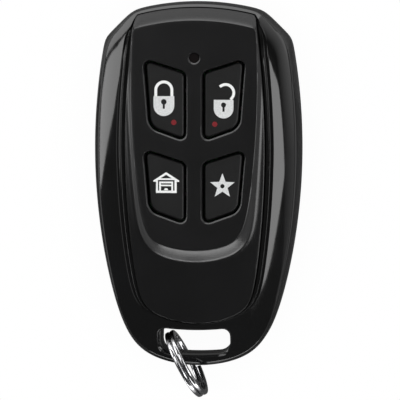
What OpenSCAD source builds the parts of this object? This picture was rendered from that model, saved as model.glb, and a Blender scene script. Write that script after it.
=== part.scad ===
// Alarm key fob: a gloss two-part case, a satin key panel with four keys, and a split ring.
// It lies on its back with +Z out of the key face and +Y towards its top end.
// The origin is the middle of the flat back. Lengths are in millimetres.

/* [Case] */
// Length of the case from end to end
case_l = 62; // [60:0.5:66]
// Width of the case at its widest place
case_w = 35.2; // [34.4:0.2:40]
// Height of the front crown above the back
crown_z = 12; // [11.8:0.1:13]
// Height of the parting line between the two halves
split_z = 6; // [5.9:0.05:6.4]
// Wall of the rear cover and of the bezel's rim
wall = 1.6; // [1.4:0.1:1.8]
// Floor of the rear cover
floor_t = 1.4; // [1.2:0.1:1.6]
// Radius of the bowed sides
side_r = 100; // [90:5:130]
// How far above the middle the case is widest
waist_y = 6; // [4:0.5:8]
// Radius of the bowed top end
top_r = 42; // [38:1:50]
// Radius of the round bottom end
tail_r = 22; // [20:1:26]
// How far the flats cut in from the top corners of the case's box
corner_cut = 5.65; // [5:0.05:6.2]
// Width of the front's edge, from the widest place to the crown
front_edge_w = 5.2; // [4.6:0.1:5.6]
// Height of the front's edge, from the widest place to the crown
front_edge_h = 5; // [4.5:0.1:5.4]
// Height of the edge's upright side, below its bowed facet
side_h = 2.3; // [1.8:0.1:2.8]
// How far the upright side leans in
side_in = 0.5; // [0.3:0.05:0.8]
// Sharpness of the facet's bow
facet_p = 1.7; // [1.4:0.1:2]
// Width of the rounded back edge
back_edge_w = 3.2; // [2.6:0.1:3.6]
// Height of the rounded back edge
back_edge_h = 3; // [2.5:0.1:3.4]
// Radius of the crown along the front
crown_r = 240; // [220:5:280]
// Where the crown is highest above the middle
crown_y = 12; // [9:0.5:14]
// How far the back rises at the tail end
tail_lift = 3.4; // [3:0.1:4]
// Length of the rising stretch of the back
tail_lift_l = 11; // [10:0.5:12]

/* [Ring slot] */
// Length of the slot
slot_l = 12.2; // [11.8:0.2:12.6]
// Middle of the slot, left of the middle line
slot_x = 0.4; // [0.2:0.1:0.6]
// Width of the slot
slot_w = 4.4; // [4.3:0.1:4.7]
// Bar between the slot and the bottom end
bar_w = 1.8; // [1.7:0.1:2.1]
// Bow of the slot's long edges
slot_bow = 0.4; // [0.3:0.05:0.5]
// Rounding of the slot's ends
slot_corner_r = 1.5; // [1:0.1:2]

/* [Panel] */
// Width of the case's rim beside the panel
rim_w = 5.7; // [5.4:0.1:6]
// Gap between the panel's top edge and the top end
panel_top_gap = 1.1; // [0.9:0.1:1.5]
// Gap between the panel's bottom edge and the slot
panel_slot_gap = 1.1; // [1:0.1:1.5]
// Radius of the panel's bowed sides
panel_side_r = 150; // [130:5:180]
// Radius of the panel's bottom edge
panel_tail_r = 16; // [14.5:0.5:18]
// Wall of the panel
panel_t = 1.4; // [1.2:0.1:1.5]
// Width of the sunk bead beside the panel
bead_w = 1.05; // [0.8:0.05:1.2]
// Depth of the sunk bead
bead_drop = 0.4; // [0.3:0.05:0.6]
// Width of the ledge that carries the panel
ledge_w = 1.2; // [1:0.1:1.4]
// Height of the ledge above the circuit board
ledge_h = 0.9; // [0.7:0.1:1]

/* [Key deck] */
// How far the deck's face lies inside the panel's sides
deck_in = 1.3; // [1.1:0.1:1.5]
// Height of the deck's face above the crown
deck_rise = 0.8; // [0.6:0.1:1]
// Where the deck's face ends at the top, from the top end
deck_top_gap = 3.4; // [3:0.1:3.8]
// How far below the top end the deck is widest
deck_waist_gap = 13.7; // [12:0.1:16]
// Gap between the lower keys and the bottom of the deck's face
deck_tail_gap = 4.6; // [4.1:0.1:5.2]
// Radius of the deck's bottom edge
deck_tail_r = 18; // [17:0.5:20]
// Height of the deck's sloping edge
deck_edge_h = 2.9; // [2.6:0.1:3.2]
// Width of the deck's sloping edge
deck_edge_w = 2.3; // [2:0.1:2.6]

/* [Keys] */
// Half of the bridge between the left and right keys
key_in_x = 1.35; // [1.2:0.05:1.6]
// Gap between the key openings and the deck's sides
key_side_gap = 2; // [1.8:0.1:2.4]
// How much narrower the openings are at their bottom
key_taper = 0.9; // [0.5:0.1:1.3]
// How much higher the openings are at their outer edge
key_slant = 2.3; // [1.8:0.1:2.6]
// Inner top corner of the upper openings below the top end
upper_key_gap = 11.9; // [11.6:0.1:12.4]
// Length of the upper openings
upper_key_l = 11.8; // [11.2:0.1:12]
// Gap between the upper and the lower openings
key_row_gap = 3.4; // [3.2:0.1:3.9]
// Length of the lower openings
lower_key_l = 10.6; // [10:0.1:11]
// Rounding of the openings' corners
key_corner_r = 1.1; // [0.8:0.1:1.3]
// Gap around each key
key_gap = 0.35; // [0.3:0.05:0.5]
// How far the key faces sit below the deck
key_sink = 0.5; // [0.3:0.1:0.7]
// Rounding of the key's top edge
key_edge = 0.4; // [0.2:0.05:0.5]
// Travel of each key
key_travel = 0.5; // [0.3:0.05:0.6]
// Radius of the stem under each key
stem_r = 1.4; // [1.1:0.1:1.6]
// Thickness of the keypad's web
web_t = 0.8; // [0.6:0.1:1]

/* [Lamp window] */
// Middle of the lamp window below the top end
lens_gap = 9.6; // [9:0.1:9.8]
// Radius of the light pipe
lens_r = 0.8; // [0.6:0.05:0.9]
// Width of the bevel around the lamp window
lens_bevel = 0.3; // [0.2:0.05:0.4]
// Width of the light pipe's collar
lens_collar = 0.6; // [0.4:0.1:0.7]

/* [Electronics] */
// Diameter of the coin cell
cell_d = 20; // [16:0.5:20]
// Height of the coin cell
cell_h = 3.2; // [2.9:0.05:3.3]
// Place of the cell below the middle
cell_y = 4; // [2:0.5:5]
// Thickness of the contact springs
spring_t = 0.3; // [0.2:0.05:0.35]
// Width of the positive clip
clip_w = 6; // [5:0.5:7]
// Height of the pads under the positive clip
pad_h = 0.6; // [0.5:0.05:0.7]
// Thickness of the circuit board
board_t = 1; // [0.8:0.1:1.2]
// Side of each tact switch
switch_w = 4.5; // [4:0.1:5]
// Height of each tact switch
switch_h = 1.8; // [1.6:0.1:2]
// Radius of each switch plunger
plunger_r = 1; // [0.8:0.05:1.1]
// How far the plunger stands above the switch at rest
plunger_rise = 0.7; // [0.6:0.05:0.8]
// Running clearance around the plunger
plunger_fit = 0.05; // [0.03:0.01:0.08]

/* [Screws] */
// Radius of the screw's shank
screw_r = 1; // [0.8:0.05:1.1]
// Radius of the screw's head
head_r = 1.7; // [1.5:0.05:1.8]
// Height of the screw's head
head_h = 1.2; // [1:0.1:1.3]
// How deep the head sits in the back
head_sink = 1.2; // [1:0.1:1.4]
// Length of the screw below its head
screw_l = 6; // [5.6:0.1:6.2]
// Upper screws inside the case's sides
upper_screw_in = 3.55; // [3.4:0.05:3.75]
// Upper screws below the top end
upper_screw_gap = 12; // [11:0.5:14]
// Lower screws inside the case's sides
lower_screw_in = 3.3; // [3.1:0.05:3.5]
// Lower screws above the bottom end
lower_screw_gap = 11.6; // [11.4:0.1:12.5]

/* [Key ring] */
// Outer diameter of the ring
ring_d = 12.4; // [11.7:0.1:12.4]
// Thickness of the wire across the ring's plane
wire_w = 0.6; // [0.5:0.05:0.7]
// Thickness of the wire towards the ring's middle
wire_h = 0.95; // [0.8:0.05:1]
// Gap between the two turns
turn_gap = 0.46; // [0.44:0.01:0.6]
// Turns of the wire
ring_turns = 1.9; // [1.7:0.05:1.95]
// Sideways lean of the ring from the fob's middle line
ring_yaw = 27; // [20:1:32]
// Height of the ring's lowest point above the back
ring_lift = 0.15; // [0.1:0.05:0.3]
// Place of the ring's middle, left of the middle line
ring_x = 2; // [1.5:0.1:2.5]
// How far the ring's middle is inside the bottom end
ring_in = 0.2; // [0:0.1:0.3]

/* [Hidden] */
$fn = 48;

// Clearance between pieces that are put together and stay still
fit = 0.1;
// A cut that runs out past everything
far = 100;
// Points of each bowed outline
outline_steps = 96;
// Sharpness of the outlines' corners at the tail and at the top
tail_p = 16;
panel_tail_p = 20;
deck_tail_p = 12;
top_p = 90;
// Slope of the rays over which the tail's curve comes in below an outline's middle
tail_ease = 0.2;
// Steps of the rounded edges, front and back
front_steps = 6;
back_steps = 4;
// Rings of the front's crown inside its rounded edge
crown_steps = 3;
// Thickness of the slice that ends a sloping edge
slice = 0.01;

// Ends of the case and of what lies along it
top_y = case_l / 2;
tail_y = -case_l / 2;
slot_low_y = tail_y + bar_w;
slot_high_y = slot_low_y + slot_w;
slot_wall = 1.6;
inside_y = slot_high_y + slot_wall;
panel_top_y = top_y - panel_top_gap;
panel_tail_y = slot_high_y + panel_slot_gap;
panel_top_r = top_r - panel_top_gap;
deck_top_y = top_y - deck_top_gap;
deck_top_r = top_r - deck_top_gap;
deck_waist_y = top_y - deck_waist_gap;
upper_key_y = top_y - upper_key_gap;
lower_key_y = upper_key_y - upper_key_l - key_row_gap;
deck_tail_y = lower_key_y - lower_key_l - deck_tail_gap;
lens_y = top_y - lens_gap;
edge_z = crown_z - front_edge_h;

// Widths from the case's sides inwards
panel_w = case_w - 2 * rim_w;
deck_w = panel_w - 2 * deck_in;
key_out_x = deck_w / 2 - key_side_gap;
corner_reach = (case_w / 2 + top_y) / sqrt(2) - corner_cut;

// Heights of the stack inside the case
clip_z = floor_t + pad_h;
cell_z = clip_z + spring_t;
contact_z = cell_z + cell_h;
board_z = contact_z + spring_t;
board_top = board_z + board_t;
switch_top = board_top + switch_h;
plunger_top = switch_top + plunger_rise;
deck_z = crown_z + deck_rise;
deck_under = deck_z - panel_t;
web_z = deck_under - web_t;
key_top = deck_z - key_sink;
key_under = web_z - fit;
skirt_z = board_top + ledge_h;

// The lip that lines the two halves up
lip_w = 0.7;
lip_h = 0.7;
lip_in = wall - lip_w;
board_in = wall + 2 * fit;

// Bosses around the screws
boss_wall = 1.1;
boss_r = screw_r + fit + boss_wall;
head_top = head_sink + head_h;
upper_screw_y = top_y - upper_screw_gap;
lower_screw_y = tail_y + lower_screw_gap;
SCREWS = [
    for (side = [-1, 1]) each [
        [side * (side_x(upper_screw_y) - upper_screw_in), upper_screw_y],
        [side * (side_x(lower_screw_y) - lower_screw_in), lower_screw_y]
    ]
];

// The packages on the board, in a row between the lower keys and the tail
chip_y = (lower_key_y - lower_key_l + inside_y) / 2;
chip_gap = 2.15;
control_w = 3.9;
control_l = 5;
control_h = 1.4;
control_legs = 4;
radio_w = 3;
radio_l = 3;
radio_h = 0.9;
radio_legs = 5;
can_w = 2.2;
can_l = 4.6;
can_h = 1.2;
// The lamp under the window
lamp_w = 1.6;
lamp_d = 1;
lamp_h = 0.8;
// Legs of the tact switches
switch_leg_w = 0.7;
switch_leg_t = 0.2;
// The wire loop at the top end
antenna_in = 4.2;
antenna_rise = 1;
antenna_half_w = 7;
antenna_bend_r = 1.5;
antenna_wire_r = 0.4;

// The ring, round the bar below the slot
ring_pitch = wire_w + turn_gap;
ring_mid_r = (ring_d - wire_h) / 2;
ring_steps = 84;
wire_sides = 8;
// How much the wire's sides are flattened, and how near to one turn apart its gap is measured
wire_flat = 1.15;
gap_turn = 20;
ring_at = [-ring_x, tail_y + ring_in, ring_lift + ring_d / 2];

// Half width of the case between its bowed sides at a place along it
function side_x(y) = case_w / 2 - side_r + sqrt(side_r * side_r - pow(y - waist_y, 2));
// Reach of a ray along u from the origin to the far side of a circle
function reach(u, c, r) = let (d = u * c) d + sqrt(d * d - c * c + r * r);
// A rounded least value: the larger p, the sharper the corner between two curves
function soft_min(values, p) = pow(total([for (v = values) pow(v, -p)]), -1 / p);
function total(v) = v * [for (x = v) 1];

// Points of an outline with bowed sides and ends, at even angles about its middle
function bowed_points(w, bow_r, bow_y, high_y, high_r, low_y, low_r, low_p, flat = far) =
    let (mid = (high_y + low_y) / 2)
    [for (k = [0 : outline_steps - 1])
        let (
            a = 360 * k / outline_steps,
            u = [cos(a), sin(a)],
            sides = [for (s = [-1, 1]) reach(u, [s * (w / 2 - bow_r), bow_y - mid], bow_r)],
            tail = reach(u, [0, low_y + low_r - mid], low_r),
            tail_share = max(0, min(1, -u[1] / tail_ease)),
            low = pow(total([for (v = sides) pow(v, -low_p)]) + tail_share * pow(tail, -low_p), -1 / low_p),
            top = reach(u, [0, high_y - high_r - mid], high_r),
            flats = [for (s = [-1, 1])
                let (across = u * [s, 1] / sqrt(2))
                if (across > 0) (flat - mid / sqrt(2)) / across],
            r = soft_min(concat([low, top], flats), top_p)
        )
        r * u + [0, mid]];

CASE = bowed_points(case_w, side_r, waist_y, top_y, top_r, tail_y, tail_r, tail_p, corner_reach);
PANEL = bowed_points(panel_w, panel_side_r, waist_y, panel_top_y, panel_top_r,
                     panel_tail_y, panel_tail_r, panel_tail_p);
DECK = bowed_points(deck_w, panel_side_r, deck_waist_y, deck_top_y, deck_top_r,
                    deck_tail_y, deck_tail_r, deck_tail_p);

// The case outline drawn in by an inset at its sides and ends
function case_ring(inset) = [for (p = CASE)
    [p[0] * (1 - 2 * inset / case_w), p[1] * (1 - 2 * inset / case_l)]];
// Drop of the crowned front at a place along the fob
function crown_drop(y) = pow(y - crown_y, 2) / (2 * crown_r);
// A ring of the case form: rise is 0 at the widest place and 1 at the crown
function front_ring(inset, rise) = [for (p = case_ring(inset))
    [p[0], p[1], edge_z + rise * (front_edge_h - crown_drop(p[1]))]];
function back_ring(inset, z) = [for (p = case_ring(inset)) [p[0], p[1], z]];

module case_outline(inset = 0) {
    polygon(case_ring(inset));
}

module panel_outline(grow = 0) {
    offset(delta = grow) polygon(PANEL);
}

// The panel's outline, widened at its sides alone
module bead_outline() {
    intersection() {
        translate([0, bead_w]) panel_outline(bead_w);
        translate([0, -bead_w]) panel_outline(bead_w);
    }
}

module deck_outline(grow = 0) {
    offset(delta = grow) polygon(DECK);
}

module slot_outline() {
    bow_r = (pow(slot_l / 2, 2) + pow(slot_bow, 2)) / (2 * slot_bow);
    slot_fn = 180;
    offset(r = slot_corner_r) offset(delta = -slot_corner_r)
        intersection() {
            difference() {
                translate([-slot_x, slot_low_y + bow_r]) circle(bow_r, $fn = slot_fn);
                translate([-slot_x, slot_high_y + bow_r]) circle(bow_r, $fn = slot_fn);
            }
            translate([-slot_x, 0]) square([slot_l, far], center = true);
        }
}

// One key's opening: side is -1 left or 1 right, row is 0 upper or 1 lower
module key_outline(side, row, grow = 0) {
    y = key_y(row);
    low = y - key_len(row);
    points = [
        [key_in_x, y], [key_in_x, low],
        [key_out_x - key_taper, low + key_slant], [key_out_x, y + key_slant]
    ];
    offset(delta = grow)
        offset(r = key_corner_r) offset(delta = -key_corner_r)
            polygon([for (p = points) [side * p[0], p[1]]]);
}

function key_y(row) = row == 0 ? upper_key_y : lower_key_y;
function key_len(row) = row == 0 ? upper_key_l : lower_key_l;
function key_middle(side, row) = [
    side * (key_in_x + key_out_x - key_taper / 2) / 2,
    key_y(row) + (key_slant - key_len(row)) / 2
];

// A closed solid through rings of points, with a flat start and a single end point
module lofted(rings, end) {
    n = len(rings[0]);
    last = (len(rings) - 1) * n;
    sides = [for (i = [0 : len(rings) - 2], k = [0 : n - 1], half = [0, 1])
        let (a = i * n + k, b = i * n + (k + 1) % n)
        half == 0 ? [a, a + n, b + n] : [a, b + n, b]];
    start = [[for (k = [0 : n - 1]) k]];
    finish = [for (k = [0 : n - 1]) [last + k, last + n, last + (k + 1) % n]];
    polyhedron(concat([for (ring = rings) each ring], [end]), concat(start, sides, finish));
}

// The closed outer form of both halves together
module case_form() {
    back = [for (i = [0 : back_steps])
        let (a = 90 - 90 * i / back_steps)
        back_ring(back_edge_w * (1 - cos(a)), back_edge_h * (1 - sin(a)))];
    side_rise = side_h / front_edge_h;
    facet = [for (i = [0 : front_steps])
        let (t = i / front_steps)
        front_ring(side_in + (front_edge_w - side_in) * t,
                   side_rise + (1 - side_rise) * (1 - pow(1 - t, facet_p)))];
    crown = [for (i = [1 : crown_steps])
        front_ring(front_edge_w + (case_w / 2 - front_edge_w) * i / (crown_steps + 1), 1)];
    difference() {
        lofted(concat(back, [front_ring(0, 0)], facet, crown), [0, 0, crown_z - crown_drop(0)]);
        translate([0, tail_y + tail_lift_l, 0])
            rotate([-atan(tail_lift / tail_lift_l), 0, 0])
                translate([-far / 2, -far, -far]) cube(far);
    }
}

// A layer of an outline between two heights
module layer(z1, z2) {
    translate([0, 0, z1]) linear_extrude(z2 - z1) children();
}

// The part of an outline that lies above the solid tail
module above_tail(gap = 0) {
    intersection() {
        children();
        translate([-far / 2, inside_y + gap]) square(far);
    }
}

module at_screws() {
    for (p = SCREWS) translate([p[0], p[1], 0]) children();
}

module front_bezel() {
    color([0.05, 0.05, 0.055])
        difference() {
            intersection() {
                case_form();
                layer(split_z, far) square(far, center = true);
            }
            // Seat of the panel, and the window below its ledge
            layer(skirt_z, far) panel_outline(fit);
            layer(0, far) panel_outline(-ledge_w);
            // Sunk bead beside the panel
            difference() {
                layer(skirt_z, far) bead_outline();
                translate([0, 0, -bead_drop]) case_form();
            }
            // Seat of the circuit board and of the rear cover's lip
            layer(0, board_top) above_tail() case_outline(lip_in - fit);
            // Hollow under the rim
            difference() {
                layer(0, edge_z + wall)
                    above_tail() difference() {
                        case_outline(2 * wall);
                        offset(delta = ledge_w) bead_outline();
                    }
                at_screws() cylinder(h = far, r = boss_r + fit);
            }
            at_screws() cylinder(h = head_top + screw_l + fit, r = screw_r + fit / 2);
            layer(-far, far) slot_outline();
        }
}

module front_panel() {
    color([0.11, 0.11, 0.115])
        difference() {
            intersection() {
                union() {
                    case_form();
                    deck_form();
                }
                layer(skirt_z, far) panel_outline();
            }
            intersection() {
                translate([0, 0, -panel_t]) case_form();
                layer(0, far) panel_outline(-panel_t);
            }
            layer(0, deck_under) deck_outline(-panel_t);
            for (side = [-1, 1], row = [0, 1])
                layer(0, far) key_outline(side, row);
            translate([0, lens_y, 0]) {
                cylinder(h = far, r = lens_r + fit / 2);
                translate([0, 0, deck_z - lens_bevel])
                    cylinder(h = lens_bevel, r1 = lens_r + fit / 2, r2 = lens_r + lens_bevel);
            }
        }
}

module deck_form() {
    hull() {
        layer(deck_z - slice, deck_z) deck_outline();
        layer(skirt_z, deck_z - deck_edge_h) deck_outline(deck_edge_w);
    }
}

module rear_cover() {
    color([0.08, 0.08, 0.085])
        difference() {
            union() {
                intersection() {
                    case_form();
                    layer(-far, split_z) square(far, center = true);
                }
                layer(split_z - slice, split_z + lip_h)
                    above_tail(fit) difference() {
                        case_outline(lip_in);
                        case_outline(wall);
                    }
            }
            difference() {
                layer(floor_t, far) above_tail(fit) case_outline(wall);
                at_screws() cylinder(h = board_z, r = boss_r);
                cell_cradle();
                clip_pads();
            }
            at_screws() {
                translate([0, 0, -far]) cylinder(h = far + head_top, r = head_r + 2 * fit);
                cylinder(h = far, r = screw_r + fit);
            }
            layer(-far, far) slot_outline();
        }
}

// The ring wall around the coin cell, open where the clip passes
module cell_cradle() {
    cradle_wall = 0.9;
    cradle_r = cell_d / 2 + 2 * fit;
    difference() {
        translate([0, -cell_y, 0])
            difference() {
                cylinder(h = cell_z + cell_h / 2, r = cradle_r + cradle_wall);
                translate([0, 0, floor_t]) cylinder(h = far, r = cradle_r);
            }
        translate([0, -cell_y, far / 2 + floor_t])
            cube([far, clip_w + 4 * fit, far], center = true);
    }
}

module clip_pads() {
    pad_w = 2;
    for (side = [-1, 1])
        translate([side * cell_d / 4 - pad_w / 2, -cell_y - clip_w / 2, 0])
            cube([pad_w, clip_w, clip_z]);
}

module lamp_lens() {
    color([0.2, 0.05, 0.05, 0.8])
        translate([0, lens_y, 0]) {
            translate([0, 0, board_top + lamp_h + 2 * fit])
                cylinder(h = deck_z - lens_bevel - board_top - lamp_h - 2 * fit, r = lens_r);
            translate([0, 0, web_z]) cylinder(h = web_t, r = lens_r + lens_collar);
        }
}

module key_web() {
    color([0.15, 0.15, 0.16])
        difference() {
            layer(web_z, deck_under) deck_outline(-panel_t - 2 * fit);
            for (side = [-1, 1], row = [0, 1])
                layer(0, far) key_outline(side, row, -fit / 2);
            translate([0, lens_y, 0]) cylinder(h = far, r = lens_r + lens_collar + fit);
        }
}

module key(side, row) {
    m = key_middle(side, row);
    color([0.13, 0.13, 0.135]) {
        hull() {
            layer(key_under, key_top - key_edge) key_outline(side, row, -key_gap);
            layer(key_top - slice, key_top) key_outline(side, row, -key_gap - key_edge);
        }
        translate([m[0], m[1], plunger_top]) cylinder(h = key_under - plunger_top + fit, r = stem_r);
    }
}

module plunger(side, row) {
    m = key_middle(side, row);
    color([0.85, 0.8, 0.65])
        translate([m[0], m[1], switch_top - key_travel])
            cylinder(h = key_travel + plunger_rise, r = plunger_r);
}

module tact_switch(side, row) {
    m = key_middle(side, row);
    leg_w = switch_leg_w;
    leg_t = switch_leg_t;
    color([0.6, 0.6, 0.62])
        translate([m[0], m[1], board_top])
            difference() {
                union() {
                    translate([-switch_w / 2, -switch_w / 2, 0]) cube([switch_w, switch_w, switch_h]);
                    for (x = [-1, 1], y = [-1, 1])
                        translate([x * (switch_w + leg_w) / 2 - leg_w / 2,
                                   y * switch_w / 3 - leg_w / 2, 0])
                            cube([leg_w, leg_w, leg_t]);
                }
                translate([0, 0, switch_h - 2 * key_travel - fit])
                    cylinder(h = switch_h, r = plunger_r + plunger_fit);
            }
}

module circuit_board() {
    color([0.05, 0.3, 0.15])
        difference() {
            layer(board_z, board_top) above_tail(3 * fit) case_outline(board_in);
            at_screws() cylinder(h = far, r = screw_r + fit);
        }
}

module coin_cell() {
    rim = 0.25;
    step = 1.2;
    color([0.75, 0.75, 0.77])
        translate([0, -cell_y, cell_z]) {
            cylinder(h = cell_h - rim, d = cell_d);
            cylinder(h = cell_h, d = cell_d - 2 * step);
        }
}

module positive_clip() {
    side_gap = 1.5;
    half_l = cell_d / 2 + side_gap;
    foot = 1.4;
    color([0.8, 0.78, 0.7])
        translate([0, -cell_y - clip_w / 2, 0]) {
            translate([-half_l, 0, clip_z]) cube([2 * half_l, clip_w, spring_t]);
            for (side = [-1, 1]) {
                translate([side * half_l - spring_t / 2, 0, clip_z])
                    cube([spring_t, clip_w, board_z - clip_z]);
                translate([side * (half_l + foot / 2) - foot / 2, 0, board_z - spring_t])
                    cube([foot, clip_w, spring_t]);
            }
        }
}

module negative_contact() {
    plate_r = 4.2;
    slit_w = 0.6;
    color([0.8, 0.78, 0.7])
        translate([0, -cell_y, contact_z])
            difference() {
                cylinder(h = spring_t, r = plate_r);
                for (side = [-1, 1])
                    translate([side * plate_r / 2 - slit_w / 2, -plate_r / 2, -far / 2])
                        cube([slit_w, plate_r, far]);
            }
}

module indicator_lamp() {
    color([0.8, 0.3, 0.3])
        translate([0, lens_y, board_top]) {
            translate([-lamp_w / 2, -lamp_d / 2, 0]) cube([lamp_w, lamp_d, lamp_h / 2]);
            cylinder(h = lamp_h, r = lamp_d / 2);
        }
}

// A chip package with a row of legs on two sides
module chip(w, l, h, legs) {
    leg_l = 0.6;
    leg_w = 0.4;
    leg_t = 0.3;
    pitch = l / legs;
    translate([-w / 2, -l / 2, 0]) cube([w, l, h]);
    for (side = [-1, 1], i = [0 : legs - 1])
        translate([side * (w + leg_l) / 2 - leg_l / 2, (i + 0.5) * pitch - l / 2 - leg_w / 2, 0])
            cube([leg_l, leg_w, leg_t]);
}

module control_chip() {
    color([0.08, 0.08, 0.09])
        translate([0, chip_y, board_top]) chip(control_w, control_l, control_h, control_legs);
}

module radio_chip() {
    color([0.09, 0.09, 0.1])
        translate([-(control_w + radio_w) / 2 - chip_gap, chip_y, board_top])
            chip(radio_w, radio_l, radio_h, radio_legs);
}

module crystal_can() {
    color([0.78, 0.78, 0.8])
        translate([(control_w + can_w) / 2 + chip_gap, chip_y, board_top])
            linear_extrude(can_h) {
                square([can_w, can_l - can_w], center = true);
                for (side = [-1, 1])
                    translate([0, side * (can_l - can_w) / 2]) circle(d = can_w);
            }
}

// Resistors and capacitors in two rows near the top end
module chip_parts() {
    part_w = 0.8;
    part_l = 1.6;
    part_h = 0.5;
    row_gap = 2.2;
    color([0.55, 0.45, 0.35])
        for (x = [-3 : 3], row = [0, 1])
            if (abs(x) > row)
                translate([x * row_gap - part_w / 2, lens_y + row * row_gap - part_l / 2, board_top])
                    cube([part_w, part_l, part_h]);
}

// A wire loop that stands on the board's top end
module loop_antenna() {
    wire_r = antenna_wire_r;
    bend_r = antenna_bend_r;
    half_w = antenna_half_w;
    y = panel_top_y - antenna_in;
    z = board_top + antenna_rise;
    color([0.8, 0.55, 0.3]) {
        translate([0, y + bend_r, z]) rotate([0, 90, 0])
            cylinder(h = 2 * (half_w - bend_r), r = wire_r, center = true);
        for (side = [-1, 1]) {
            translate([side * (half_w - bend_r), y, z])
                rotate(side > 0 ? 0 : 90)
                    rotate_extrude(angle = 90) translate([bend_r, 0]) circle(wire_r);
            translate([side * half_w, y, board_top])
                cylinder(h = z + wire_r - board_top, r = wire_r);
        }
    }
}

module case_screws() {
    cross_w = 0.5;
    cross_l = 1.8;
    cross_h = 0.6;
    color([0.6, 0.6, 0.62])
        at_screws()
            difference() {
                union() {
                    translate([0, 0, head_sink]) cylinder(h = head_h, r = head_r);
                    translate([0, 0, head_top]) cylinder(h = screw_l, r = screw_r);
                }
                for (turn = [0, 90])
                    translate([0, 0, head_sink]) rotate(turn)
                        cube([cross_l, cross_w, 2 * cross_h], center = true);
            }
}

// Turn of the wire at step i, in degrees
function ring_turn(i) = 360 * ring_turns * (i / ring_steps - 0.5);
// One point of the wire's section at step i
function ring_point(i, k) =
    let (a = 360 * (k + 0.5) / wire_sides, t = ring_turn(i), r = ring_mid_r + wire_h / 2 * flat_cos(a))
    [r * cos(t), r * sin(t), ring_pitch * t / 360 + wire_w / 2 * flat_cos(a - 90)];
// A cosine with a flatter top, for a wire with rounded corners
function flat_cos(a) = sign(cos(a)) * min(1, abs(cos(a)) * wire_flat);
// Least gap between points of the wire about one turn apart
function ring_gap() =
    min([for (i = [0 : ring_steps], j = [i : ring_steps])
        if (abs(ring_turn(j) - ring_turn(i) - 360) < gap_turn)
            min([for (k = [0 : wire_sides - 1], m = [0 : wire_sides - 1])
                norm(ring_point(i, k) - ring_point(j, m))])]);

module key_ring() {
    last = ring_steps * wire_sides;
    points = [for (i = [0 : ring_steps], k = [0 : wire_sides - 1]) ring_point(i, k)];
    sides = [for (i = [0 : ring_steps - 1], k = [0 : wire_sides - 1], half = [0, 1])
        let (a = i * wire_sides + k, b = i * wire_sides + (k + 1) % wire_sides)
        half == 0 ? [a, b, b + wire_sides] : [a, b + wire_sides, a + wire_sides]];
    ends = [for (k = [1 : wire_sides - 2], end = [0, 1])
        end == 0 ? [0, k + 1, k] : [last, last + k, last + k + 1]];
    color([0.85, 0.85, 0.87])
        translate(ring_at) rotate(ring_yaw) rotate([0, 90, 0])
            polyhedron(points, concat(sides, ends));
}

echo(ring_gap = ring_gap());  // key_ring

front_bezel();
front_panel();
rear_cover();
lamp_lens();
key_web();
key(-1, 0);  // lock_button
key(1, 0);  // unlock_button
key(-1, 1);  // garage_button
key(1, 1);  // star_button
plunger(-1, 0);  // lock_plunger
plunger(1, 0);  // unlock_plunger
plunger(-1, 1);  // garage_plunger
plunger(1, 1);  // star_plunger
tact_switch(-1, 0);  // lock_switch
tact_switch(1, 0);  // unlock_switch
tact_switch(-1, 1);  // garage_switch
tact_switch(1, 1);  // star_switch
circuit_board();
coin_cell();
positive_clip();
negative_contact();
indicator_lamp();
control_chip();
radio_chip();
crystal_can();
chip_parts();
loop_antenna();
case_screws();
key_ring();
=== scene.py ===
# %% [markdown]
# # An alarm key fob, dressed
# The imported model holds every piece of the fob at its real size, with its joints. This lesson gives those
# pieces their looks. The shells that show get smooth meshes of their own, and the pieces inside keep
# their solids and get a finish. The first cell loads the model as a fixed frame.

# %% Load the frame
import math

import bmesh
import bpy
import numpy as np
from mathutils import Matrix, Vector


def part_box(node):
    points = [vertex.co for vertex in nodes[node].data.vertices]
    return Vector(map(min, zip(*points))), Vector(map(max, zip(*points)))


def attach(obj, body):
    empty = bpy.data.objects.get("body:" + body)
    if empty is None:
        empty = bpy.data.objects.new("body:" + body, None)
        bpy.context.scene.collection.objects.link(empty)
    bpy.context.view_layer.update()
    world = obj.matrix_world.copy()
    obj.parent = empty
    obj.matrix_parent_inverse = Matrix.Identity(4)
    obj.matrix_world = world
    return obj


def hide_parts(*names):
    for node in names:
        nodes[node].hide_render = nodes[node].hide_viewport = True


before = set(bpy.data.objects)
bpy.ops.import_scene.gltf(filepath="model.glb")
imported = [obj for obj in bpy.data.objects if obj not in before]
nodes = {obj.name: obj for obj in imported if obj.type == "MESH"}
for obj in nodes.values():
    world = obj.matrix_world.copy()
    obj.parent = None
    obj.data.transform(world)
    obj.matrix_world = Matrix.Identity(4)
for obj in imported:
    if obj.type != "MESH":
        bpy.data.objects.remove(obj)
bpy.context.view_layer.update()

MM = 0.001

# %% [markdown]
# ## The camera
# The photograph looks nearly straight at the key face, from a little to the right and a little above. A
# long lens some 0.4 m away gives the weak perspective of a product picture. Such a camera could be placed
# by eye, but it is worked out here from the width of the picture at the fob, so it stays right if that
# changes.

# %% Camera
CAMERA_RIGHT = math.radians(6)
CAMERA_ABOVE = math.radians(3.5)
CAMERA_FAR = 420 * MM
PICTURE_W = 68.03 * MM
PICTURE_MIDDLE = Vector((0.41, -2.74, 7)) * MM
SENSOR_W = 36

camera_data = bpy.data.cameras.new("camera")
camera_data.sensor_width = SENSOR_W
camera_data.lens = SENSOR_W * CAMERA_FAR / PICTURE_W
camera = bpy.data.objects.new("camera", camera_data)
bpy.context.scene.collection.objects.link(camera)
back = Vector((math.sin(CAMERA_RIGHT), math.sin(CAMERA_ABOVE), 0))
back.z = math.sqrt(1 - back.length_squared)
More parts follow.
